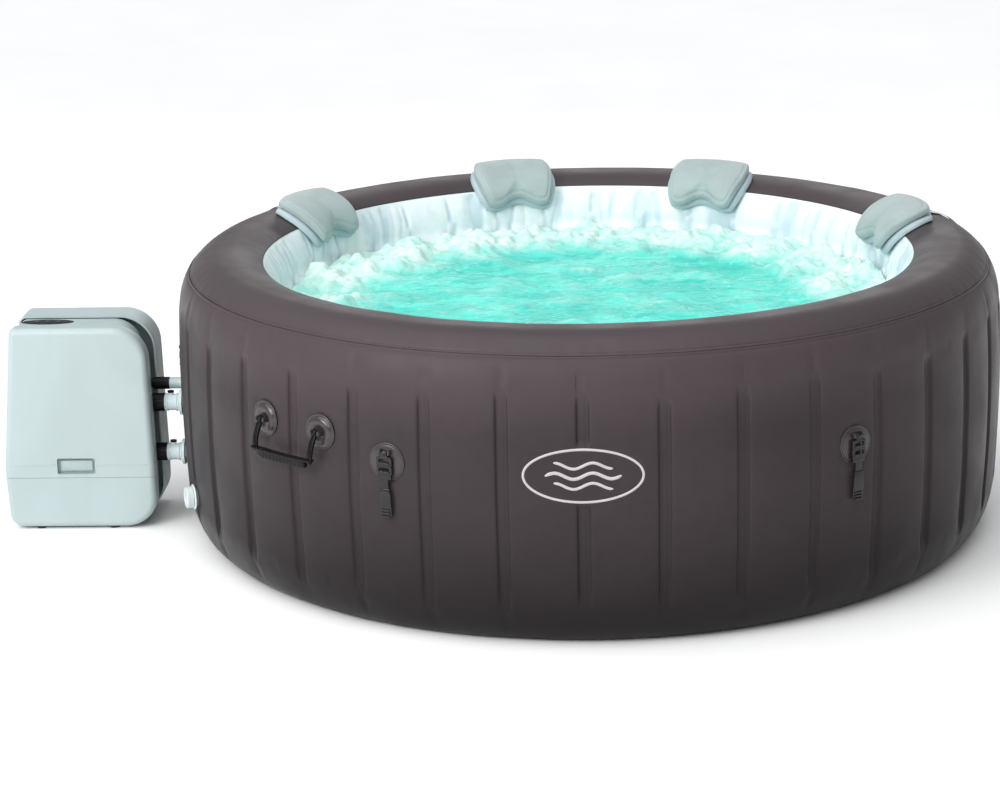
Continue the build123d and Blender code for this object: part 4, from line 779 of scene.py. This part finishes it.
def printed_line(centres, width, closed):
    """A thin raised line of ink that follows the wall."""
    centres = np.array(centres, float)
    n = len(centres)
    if closed:
        along = np.roll(centres, -1, 0) - np.roll(centres, 1, 0)
        taper = np.ones(n)
    else:
        along = np.gradient(centres, axis=0)
        ends = np.minimum(np.arange(n), n - 1 - np.arange(n))
        taper = np.sqrt(np.clip((ends + 0.6) / 5, 0.1, 1))
    along /= np.hypot(*along.T)[:, None]
    side = np.stack([-along[:, 1], along[:, 0]], 1)
    section = ((-0.5, -0.6), (-0.46, 0.45), (0.0, 0.55), (0.46, 0.45), (0.5, -0.6))
    points = []
    for offset, lift in section:
        pts = centres + side * (offset * width * taper)[:, None]
        points.extend([wall_point(a, b, lift) for a, b in pts])
    return points, grid_faces(len(section), n, closed, False)


def emblem():
    """An oval outline round three wavy lines, in place of a maker's print."""
    oval = [
        (EMBLEM_HALF_WIDTH * cos(t), EMBLEM_Z + EMBLEM_HALF_HEIGHT * sin(t))
        for t in np.linspace(0, 2 * pi, 241)[:-1]
    ]
    parts = [printed_line(oval, 5.5, True)]
    for up, half, wide in ((22, 62, 6.5), (0, 80, 7.5), (-22, 62, 6.5)):
        z = EMBLEM_Z + up
        xs = np.linspace(-half, half, 90)
        parts.append(printed_line([(x, z + 6.5 * sin(x / 12.7)) for x in xs], wide, False))
    points, faces = join(parts)
    new_piece("emblem_waves", points, faces, "print", "tub")


emblem()


# --- Headrests ------------------------------------------------------------------------------------
def rim_path(gap):
    """Points on the rim's inner corner at a gap, from over its top down towards the water."""
    pts = [(r, TUB_TOP + gap) for r in np.linspace(RIM_C[0] + 5, RIM_C[0] + 1, 4)]
    for t in np.linspace(pi / 2, pi - radians(5), 124):
        pts.append((RIM_C[0] + (IN_R + gap) * cos(t), RIM_C[1] + (IN_Z + gap) * sin(t)))
    return np.array(pts)


PATH = rim_path(1.4)
PATH_RUN = np.concatenate([[0], np.cumsum(np.hypot(*np.diff(PATH, axis=0).T))])
PATH_LENGTH = PATH_RUN[-1]


def path_at(d):
    """Radius and height at distances along the path."""
    d = np.clip(d, 0, PATH_LENGTH)
    return np.interp(d, PATH_RUN, PATH[:, 0]), np.interp(d, PATH_RUN, PATH[:, 1])


def on_rim(across, down, lift):
    """A point over the rim at angle 0: across mm sideways, down mm along the rim, lift off it."""
    d = np.clip(down, 0, PATH_LENGTH)
    r, z = path_at(d)
    (r1, z1), (r0, z0) = path_at(d + 1), path_at(d - 1)
    size = np.hypot(r1 - r0, z1 - z0)
    r, z = r + (z1 - z0) / size * lift, z + (r0 - r1) / size * lift
    a = across / HEADREST_R
    return np.stack([r * np.cos(a), r * np.sin(a), z], -1)


def pillow_grid(half_width, top, foot, scoop, cells=(57, 49), corner=0.36):
    """A rounded pillow outline as a square grid: sideways and down positions, and edge distance."""
    even = [np.linspace(-1, 1, count) for count in cells]
    uu, vv = np.meshgrid(*[np.sign(u) * (1 - (1 - np.abs(u)) ** 1.25) for u in even])
    x = uu * np.sqrt(1 - corner * vv**2)
    y = vv * np.sqrt(1 - corner * uu**2)
    middle, half = (top + foot) / 2, (foot - top) / 2
    across = x * half_width
    down = middle + y * half
    bite = scoop * bell(across, 0.42 * half_width)
    lobe = 7.0 * bell(np.abs(across) - 0.68 * half_width, 0.3 * half_width)
    pull = smooth((vv + 0.35) / 1.35)
    down = down - pull * bite + pull * lobe
    edge_u, edge_v = (1 - np.abs(uu)) * half_width, (1 - np.abs(vv)) * half
    edge = np.minimum(edge_u, edge_v) * 0.55 + 0.45 * (edge_u * edge_v) / (edge_u + edge_v + 1e-6)
    return across, down, edge


def pillow(half_width, top, foot, scoop, low, thick, roundness):
    """A closed pillow over the rim, from lift low, thick at its crown; and its edge distances."""
    across, down, edge = pillow_grid(half_width, top, foot, scoop)
    upper = on_rim(across, down, low + thick * (1 - np.exp(-edge / roundness)) ** 0.6)
    under = on_rim(across, down, np.full_like(across, low))
    rows, cols = edge.shape
    index = np.arange(edge.size).reshape(rows, cols)
    index[1:-1, 1:-1] = edge.size + np.arange((rows - 2) * (cols - 2)).reshape(rows - 2, cols - 2)
    points = np.concatenate([upper.reshape(-1, 3), under[1:-1, 1:-1].reshape(-1, 3)])
    lower = np.stack([index[:-1, :-1], index[1:, :-1], index[1:, 1:], index[:-1, 1:]], -1)
    return points, grid_faces(rows, cols, False, False) + lower.reshape(-1, 4).tolist(), edge


def inflate(piece, cap, frames=20):
    """Blows a pillow up with cloth, and keeps every point within cap metres of where it was."""
    start = np.array([v.co for v in piece.data.vertices])
    cloth = piece.modifiers.new("cloth", "CLOTH")
    settings = cloth.settings
    settings.use_pressure = True
    settings.uniform_pressure_force = 4.0
    settings.effector_weights.gravity = 0.0
    settings.quality = 6
    settings.tension_stiffness = 20
    settings.compression_stiffness = 12
    settings.bending_stiffness = 0.6
    cloth.collision_settings.use_collision = False
    scene = bpy.context.scene
    scene.frame_start, scene.frame_end = 1, frames
    for k in range(1, frames + 1):
        scene.frame_set(k)
    dg = bpy.context.evaluated_depsgraph_get()
    blown = np.array([v.co for v in piece.evaluated_get(dg).data.vertices])
    piece.modifiers.remove(cloth)
    scene.frame_set(1)
    move = blown - start
    far = np.linalg.norm(move, axis=1)
    move *= np.minimum(1.0, cap / np.maximum(far, 1e-9))[:, None]
    piece.data.vertices.foreach_set("co", (start + move).ravel())
    piece.data.update()


def creased(points, edge):
    """Gathers a pad along its middle, and sinks a sewn line a little way in from its edge."""
    out = np.array(points, float)
    top, inset = out[: edge.size], edge.reshape(-1)
    sideways = np.arctan2(top[:, 1], top[:, 0]) * HEADREST_R
    ruck = field(top, 26, 11.0) * bell(sideways, 26) * 1.4
    ruck -= 1.1 * bell(sideways, 7.0) * smooth((inset - 22) / 25)
    radial = (top - (RIM_C[0], 0, RIM_C[1])) * (1, 0, 1)
    radial /= np.linalg.norm(radial, axis=1)[:, None]
    top += radial * (ruck * smooth((inset - 12) / 14))[:, None]
    grid = top.reshape(*edge.shape, 3)
    normal = np.cross(np.gradient(grid, axis=1), np.gradient(grid, axis=0))
    normal /= np.linalg.norm(normal, axis=2)[..., None] + 1e-9
    grid -= normal * (2.4 * bell(edge - 12.0, 2.6))[..., None]
    return out


def headrest_form(label, key, cap, *size):
    """A pad or a base at angle 0, blown up: its points, faces and material."""
    points, faces, edge = pillow(*size)
    piece = new_piece(f"headrest_{label}_form", points, faces, key, "tub")
    inflate(piece, cap)
    points = np.array([v.co for v in piece.data.vertices]) / MM
    bpy.data.objects.remove(piece)
    return (creased(points, edge) if label == "pad" else points), faces, key


def headrests():
    """Four alike: one pad and one base, turned to each place."""
    pad = headrest_form("pad", "pad", 0.006, 114, 4, PATH_LENGTH - 14, 21, 16.5, 20.0, 8.0)
    base = headrest_form("base", "edge", 0.002, 120, 0, PATH_LENGTH - 7, 19, 0.6, 13.0, 6.0)
    for number, angle in enumerate(HEADRESTS, start=1):
        body = f"headrest_{number}"
        for label, form, slot in (("pad", pad, "headrest_fabric"), ("base", base, "headrest_edge")):
            points, faces, key = form
            name = f"headrest_{label}_cloth_{number}"
            piece = new_piece(name, turned(points, angle), faces, key, body, slot)
            level = piece.modifiers.new("smooth", "SUBSURF")
            level.levels = level.render_levels = 1
            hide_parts(f"headrest_{label}_{number}")
        strap(number, angle, body)


def strap(number, angle, body):
    """A flat pale tab at the back of a headrest, lying over the rim."""
    rows = []
    for t in np.linspace(0, 1, 34):
        r = RIM_C[0] - 8 + 103 * t
        up = TUB_TOP + 2.2 + 8.0 * (1 - smooth(np.array(t * 2.4))) ** 2
        beyond = max(0.0, (r - (TUB_R - OUT_R)) / OUT_R)
        rows.append((r, 0.0, float(up - OUT_Z * (1 - np.sqrt(1 - beyond**2)))))
    points, faces = sweep(rows, (0, 1, 0), rounded_rect(26, 1.7, 0.8, 2))
    name = f"headrest_strap_{number}"
    new_piece(name, turned(points, angle), faces, "strap", body, "headrest_edge")


headrests()


# --- Handles --------------------------------------------------------------------------------------
def round_patch(radius, profile):
    """A round vinyl patch from (share of the radius, height) pairs, its foot in the wall."""
    top = [(max(0.05, radius * share), z) for share, z in profile]
    return lathe(top + [(radius, -2.5), (0.05, -2.5)], 96, False)


def lug(width, cheek, reach, pin_out, pin_r, sink):
    """Two rounded cheeks and a pin with a head on each side, from an origin at the pin's foot."""
    corners = [(-6.5, -sink, 0), (6.5, -sink, 0), (6.0, reach, 5.5), (-6.0, reach, 5.5)]
    outline = round_profile(corners, 6)
    parts = []
    for side in (-1, 1):
        middle = side * (width + cheek) / 2
        parts.append(lying(slab(outline, middle - cheek / 2, middle + cheek / 2, 0.7)))
    half = width / 2 + cheek + 1.0
    head = [(0.05, half + 0.3), (pin_r + 0.9, half + 0.3), (pin_r + 1.4, half - 0.4)]
    head.append((pin_r, half - 1.0))
    points, faces = lathe([(r, -z) for r, z in head] + head[::-1], 24, False)
    parts.append(([(z, y, x + pin_out) for x, y, z in points], faces))
    return join(parts)


# The edge of every patch: a shallow weld ring and a flat flange.
FLANGE = ((0.87, 0.7), (0.90, 0.7), (0.925, 1.5), (0.955, 1.7), (0.98, 1.3), (1.0, 0.5))


def handle(name, angle):
    """A handle's two patches, a raised ring each, and the lugs that hold the grip's pins."""
    origin, *axes = wall_axes(angle, HANDLE_Z)
    profile = (
        (0.0, 3.9), (0.12, 4.0), (0.24, 4.2), (0.33, 4.9), (0.43, 6.4), (0.54, 7.0), (0.65, 6.6),
        (0.74, 5.2), (0.80, 3.3), (0.84, 1.6),
    )
    patch = round_patch(HANDLE_PATCH, profile + FLANGE)
    parts = []
    for side in (-1, 1):
        parts.append(place(patch, *wall_axes(angle + side * HANDLE_HALF_ANGLE, HANDLE_Z)))
        foot = np.array(origin) + np.array(axes[0]) * side * HANDLE_SPAN
        parts.append(place(lug(17.6, 4.0, 17.0, 12.0, 3.0, 4.0), foot, *axes))
    return new_piece(f"handle_patch_{name}", *join(parts), "patch", "tub", "wall_vinyl")


def grip(name, angle):
    """A moulded grip: two strap arms with eyes on the pins, and a flanged, ribbed bar."""
    parts = []
    steps = np.linspace(0, 1, 22)
    eye = lathe([(3.1, -6.6), (6.6, -6.6), (7.2, -5.8), (7.2, 5.8), (6.6, 6.6), (3.1, 6.6)], 36)
    for side in (-1, 1):
        parts.append(lying(eye, side * HANDLE_SPAN, 0.0, 12.0))
        start = np.array([side * HANDLE_SPAN, -4.5, 13.0])
        end, bow = np.array([side * 84.0, -64.0, 32.0]), np.array([side * 1.0, 1.5, 4.0])
        path = [start * (1 - t) + end * t + bow * sin(pi * t) for t in steps]
        scales = [(1.0 + 0.18 * t**2, 1.0 + 0.25 * (1 - t) ** 3) for t in steps]
        parts.append(sweep(path, (1, 0, 0), rounded_rect(13.4, 6.4, 2.4, 4), scales))
        ridge = [p + np.array([0, 0.8, 3.4]) for p in path[4:-3]]
        parts.append(sweep(ridge, (1, 0, 0), rounded_rect(6.0, 1.6, 0.7, 3)))
    bar_path = [(x, -64.0 - 2.5 * cos(x / 92 * pi / 2), 32.0) for x in np.linspace(-91.5, 91.5, 44)]
    flange = round_profile([(-8.5, 5.0, 2), (8.5, 5.0, 2), (8.7, 9.2, 2), (-8.7, 9.2, 2)], 4)
    body = round_profile([(-6.2, -12.0, 4.5), (6.2, -12.0, 4.5), (6.8, 5.6, 1), (-6.8, 5.6, 1)], 5)
    parts.append(sweep(bar_path, (0, 0, 1), [(x, -y) for x, y in flange]))
    short = [p for p in bar_path if abs(p[0]) < 76]
    ends = [(min(1.0, 0.72 + 0.28 * (76 - abs(p[0])) / 14),) * 2 for p in short]
    parts.append(sweep(short, (0, 0, 1), [(x, -y) for x, y in body], ends))
    rib_shape = round_profile([(-6.9, -11.4, 5), (6.9, -11.4, 5), (7.1, 6.0, 1), (-7.1, 6.0, 1)], 5)
    rib_sizes = [(0.93, 0.93), (0.99, 0.99), (1.02, 1.02), (0.99, 0.99), (0.93, 0.93)]
    for k in range(11):
        x = -55 + 11 * k
        rib_path = [(x + d, -66.4, 32.0) for d in (-2.2, -1.6, 0, 1.6, 2.2)]
        parts.append(sweep(rib_path, (0, 0, 1), [(a, -b) for a, b in rib_shape], rib_sizes))
    placed = place(join(parts), *wall_axes(angle, HANDLE_Z))
    piece = new_piece(f"grip_{name}", *placed, "black", f"handle_{name}", "moulded_black")
    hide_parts(f"handle_grip_{name}")


first_patch, _ = [handle(name, angle) for name, angle in HANDLES.items()]
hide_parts("handle_patches")
for name, angle in HANDLES.items():
    grip(name, angle)


# --- Cover clips ----------------------------------------------------------------------------------
def clip_patch(number, angle):
    """A clip's welded patch, a stepped dome with a raised boss, and its lug."""
    profile = (
        (0.0, 6.8), (5 / 42, 6.8), (9 / 42, 6.4), (12 / 42, 5.3), (15 / 42, 4.7), (0.55, 4.0),
        (0.68, 3.1), (0.78, 1.9), (0.84, 1.744), (0.87, 0.9),
    )
    dome = moved(round_patch(CLIP_PATCH, profile + FLANGE[1:]), z=-1.0)
    parts = [dome, moved(lug(18.0, 3.5, 14.0, 10.0, 2.5, 3.0), y=22.0)]
    placed = place(join(parts), *wall_axes(angle, CLIP_Z))
    return new_piece(f"clip_patch_{number}", *placed, "patch", "tub", "wall_vinyl")


def clip(number, angle):
    """A buckle: eye on the pin, ladder frame with raised bars, webbing neck and ribbed tab."""
    parts = []
    eye = lathe([(2.6, -7.8), (4.7, -7.8), (5.3, -7.2), (5.3, 7.2), (4.7, 7.8), (2.6, 7.8)], 32)
    parts.append(lying(eye, 0.0, 22.0, 10.0))
    parts.append(slab([(x, y + 14.5) for x, y in rounded_rect(15.6, 9, 1.5)], 7.4, 12.6, 0.8))
    for top, foot in ((13.5, -8.0), (-5.5, -27.0)):
        outer = [(x, y + (top + foot) / 2) for x, y in rounded_rect(37, top - foot, 6, 5)]
        inner = [(x, y + (top + foot) / 2) for x, y in rounded_rect(24, top - foot - 11, 3, 5)]
        parts.append(slab(outer, 7.0, 13.0, 1.1, inner))
    lower = [(x, y - 31.0) for x, y in rounded_rect(33, 12, 4, 5)]
    parts.append(slab(lower, 7.2, 12.8, 1.2))
    for z in (-1.5, -20.5):
        bar = [(x, z, 13.2) for x in np.linspace(-13, 13, 12)]
        parts.append(sweep(bar, (0, 1, 0), rounded_rect(5.0, 2.6, 1.2, 4)))
    neck = [(0, y, 9.8 + 1.0 * sin(y / 9)) for y in np.linspace(-34, -62, 16)]
    parts.append(sweep(neck, (1, 0, 0), rounded_rect(17.5, 3.0, 1.2, 4)))
    steps = np.linspace(0, 1, 34)
    tab = [(0, -57 - 64.5 * t, 10.0 + 1.8 * sin(t * 5.2)) for t in steps]
    widths = [
        (0.78 + 0.22 * min(1, t * 5), 1) if t < 0.9 else (1 - (t - 0.9) * 1.6, 0.95) for t in steps
    ]
    parts.append(sweep(tab, (1, 0, 0), rounded_rect(28.5, 4.6, 1.8, 4), widths))
    for y in (-66, -105, -112, -119):
        rib = [(x, y, 12.6) for x in np.linspace(-10.5, 10.5, 8)]
        parts.append(sweep(rib, (0, 1, 0), rounded_rect(3.6, 2.0, 0.9, 3)))
    placed = place(join(parts), *wall_axes(angle, CLIP_Z))
    piece = new_piece(f"clip_buckle_{number}", *placed, "clip", f"clip_{number}", "moulded_black")
    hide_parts(f"cover_clip_{number}")


first_patch, *_ = [clip_patch(k, angle) for k, angle in enumerate(CLIPS, start=1)]
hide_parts("clip_patches")
for k, angle in enumerate(CLIPS, start=1):
    clip(k, angle)


# --- Valves ---------------------------------------------------------------------------------------
def ribbed_cap(spigot, ribs=28):
    """A cap with grip ribs, a recessed face and a moulded bar across it."""
    outer = spigot + 4.0
    ribbed = (4, 5, 6)

    def wobble(k, t, r, z):
        return -0.8 * (0.5 + 0.5 * cos(t * ribs)) if k in ribbed else 0.0

    profile = [
        (spigot + 0.15, 4.7), (outer - 0.9, 4.7), (outer - 0.1, 5.3), (outer - 0.1, 6.0),
        (outer, 6.8), (outer, 12), (outer, 17.6), (outer - 0.5, 19.0), (outer - 1.8, 20.2),
        (outer - 4, 20.4), (outer - 5.4, 19.8), (outer - 6.2, 18.7), (outer * 0.45, 18.5),
        (0.05, 18.5), (0.05, 16.9), (spigot * 0.6, 16.9), (spigot + 0.15, 16.9),
    ]
    parts = [lathe(profile, 168, True, wobble)]
    bar = [(x, 0, 18.9) for x in np.linspace(-outer + 7.5, outer - 7.5, 16)]
    parts.append(sweep(bar, (0, 1, 0), rounded_rect(7, 2.8, 1.3, 4)))
    return join(parts)


def valve_seat(flange, neck, spigot, bore, spider):
    """A valve's fixed half: welded flange, threaded spigot and neck, with a spider if sprung."""
    profile = [
        (bore, -26), (neck, -26), (neck, -0.2), (flange, -0.2), (flange + 0.2, 1.0),
        (flange - 0.8, 2.6), (flange - 2.5, 3.4), (flange - 4, 3.9), (spigot + 1.0, 4.0),
        (spigot - 0.3, 4.4),
    ]
    for k in range(4):
        z = 5.0 + 2.7 * k
        thread = ((0.9, 0.0), (0.1, 0.7), (0.1, 1.3), (0.9, 2.0))
        profile += [(spigot - depth, z + up) for depth, up in thread]
    profile += [(spigot - 0.9, 15.8), (bore, 15.8), (bore, -2)]
    parts = [lathe(profile, 96, True)]
    if spider:
        parts.append(lathe([(5.1, -17.9), (7.2, -17.9), (7.2, -14.1), (5.1, -14.1)], 40, True))
        for k in range(4):
            a = pi / 2 * k
            arm = [(r * cos(a), r * sin(a), -16.0) for r in np.linspace(6.8, bore + 0.4, 5)]
            parts.append(sweep(arm, (-sin(a), cos(a), 0), rounded_rect(3.2, 3.6, 0.6, 2)))
    return join(parts)


for label, (angle, height, flange, neck, spigot, bore) in VALVES.items():
    axes = wall_axes(angle, height)
    seat = place(valve_seat(flange, neck, spigot, bore, label == "inflation"), *axes)
    piece = new_piece(f"{label}_seat", *seat, "valve", "tub", "valve_plastic")
    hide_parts(f"{label}_valve")
    cap = place(ribbed_cap(spigot), *axes)
    piece = new_piece(f"{label}_ribbed_cap", *cap, "valve", f"{label}_cap", "valve_plastic")
    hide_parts(f"{label}_cap")


# --- Couplings: ribs, rings and clamp bands on the fixed pipework ---------------------------------
def hoop(inner, outer, start, width, rounding):
    """A ring round a pipe, its two outer edges rounded."""
    end = start + width
    corners = [(inner, start, 0), (outer, start, rounding), (outer, end, rounding), (inner, end, 0)]
    return lathe(round_profile(corners, 3), 64)


for label, z in PIPE_Z.items():
    parts = []
    for start, outer in ((-1029.5, 22.2), (-1024.6, 21.6), (-1002.5, 21.8), (-997.6, 22.4)):
        parts.append(hoop(19.9, outer, start, 2.6, 0.5))
    corners = [(0.05, -996.4, 0), (2.6, -996.4, 0.5), (2.6, -993.2, 0), (0.05, -993.2, 0)]
    bolt = lathe(round_profile(corners, 3), 6, False)
    for k in range(6):
        a = pi / 3 * k + pi / 6
        parts.append(moved(bolt, 26 * cos(a), 26 * sin(a)))
    rings = lying(join(parts), 0.0, PIPE_Y, z)
    new_piece(f"valve_rings_{label}", *rings, "fitting", "tub", "valve_plastic")
    band = lying(hoop(18.1, 20.4, -1075.5, 9.0, 0.6), 0.0, PIPE_Y, z)
    new_piece(f"stub_band_{label}", *band, "black", "tub", "moulded_black")


# --- Pump unit: what the looks add to the front shell ---------------------------------------------
def casing_lines():
    """A fine raised line across the front shell at the finger pocket's middle."""
    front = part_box("front_shell")[0].y / MM
    parts = []
    for x0, x1 in ((-1397.0, -1291.0), (-1193.0, -1071.0)):
        xs = np.linspace(x0, x1, 30)
        line = [(x, front - 0.15, 163.0 + 1.5 * sin((x + 1397) / 104)) for x in xs]
        sizes = [(1, min(1.0, 0.2 + k / 4, 0.2 + (29 - k) / 4)) for k in range(30)]
        parts.append(sweep(line, (0, 0, 1), rounded_rect(2.4, 1.1, 0.5, 3), sizes))
    points, faces = join(parts)
    new_piece("casing_trim_line", points, faces, "casing", "tub", "casing_plastic")


casing_lines()


def pocket_plate():
    """The raised plate in the finger pocket of the front shell."""
    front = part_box("front_shell")[0].y / MM
    plate, faces = slab(rounded_rect(77, 26, 4), 0, 7, 1.2)
    points = [(x + POCKET_X, front + 15.3 - z, y + POCKET_Z) for x, y, z in plate]
    new_piece("finger_pocket_plate", points, faces, "casing", "tub", "casing_plastic")


pocket_plate()


# --- Stage, light and camera ----------------------------------------------------------------------
def stage_material():
    g = Graph("floor_paper")
    tone = g.mix(g.ramp(g.noise(0.7, 3), 0.3, 0.7), (0.965, 0.965, 0.965), (0.985, 0.985, 0.985))
    return g.finish(tone, g.ramp(g.noise(3, 2), 0.3, 0.7, 0.75, 0.9), None)


def make_stage():
    n, reach = 41, 30.0
    xs = np.linspace(-reach, reach, n)
    points = [(x, y, 0.0) for y in xs for x in xs]
    mesh = bpy.data.meshes.new("floor")
    mesh.from_pydata(points, [], grid_faces(n, n, False, False))
    mesh.materials.append(stage_material())
    floor = bpy.data.objects.new("floor", mesh)
    bpy.context.scene.collection.objects.link(floor)


def lamp(name, kind, power, direction, position=(0, 0, 0), **settings):
    """A light of a kind that shines along a direction."""
    light = bpy.data.lights.new(name, kind)
    light.energy = power
    for key, value in settings.items():
        setattr(light, key, value)
    piece = bpy.data.objects.new(name, light)
    piece.location = position
    piece.rotation_mode = "QUATERNION"
    piece.rotation_quaternion = Vector(direction).to_track_quat("-Z", "Y")
    bpy.context.scene.collection.objects.link(piece)


def area_light(name, position, target, size, power, colour=(1, 1, 1)):
    """A rectangular light that faces a target."""
    facing = Vector(target) - Vector(position)
    sides = {"shape": "RECTANGLE", "size": size[0], "size_y": size[1]}
    lamp(name, "AREA", power, facing, position, color=colour, **sides)


make_stage()
lamp("overhead", "SUN", 2.15, (0.28, 0.30, -1.0), angle=radians(75))
area_light("front", (-0.4, -5.6, 2.9), (0, -0.9, 0.5), (2.8, 1.2), 38)
area_light("key", (-3.0, -3.4, 2.3), (-0.75, 0, 0.30), (2.2, 1.8), 92, (1, 0.995, 0.985))
area_light("back", (0.2, 4.8, 2.4), (0, 0.85, 0.65), (3.4, 0.7), 20)
world = bpy.data.worlds.new("studio")
world.use_nodes = True
world.node_tree.nodes["Background"].inputs[0].default_value = (0.96, 0.98, 1.0, 1.0)
world.node_tree.nodes["Background"].inputs[1].default_value = 0.40
bpy.context.scene.world = world
bpy.context.scene.view_settings.view_transform = "Standard"


def camera():
    """The photograph's camera, fitted to the tub's outline in it."""
    data = bpy.data.cameras.new("camera")
    data.sensor_width = 36.0
    data.lens = 96.25
    data.shift_x, data.shift_y = -0.0648, -0.0257
    data.clip_start, data.clip_end = 0.1, 60.0
    cam = bpy.data.objects.new("camera", data)
    # Columns: the camera's right, up and back, and where it stands, in metres.
    stand = Matrix((
        (0.99986, 0.01654, 0.0, -0.06064),
        (-0.00436, 0.26351, -0.96465, -6.29066),
        (-0.01595, 0.96452, 0.26354, 2.06015),
        (0.0, 0.0, 0.0, 1.0),
    ))
    cam.matrix_world = Matrix.Rotation(radians(1.5), 4, "Z") @ stand
    bpy.context.scene.collection.objects.link(cam)
    bpy.context.scene.camera = cam


camera()
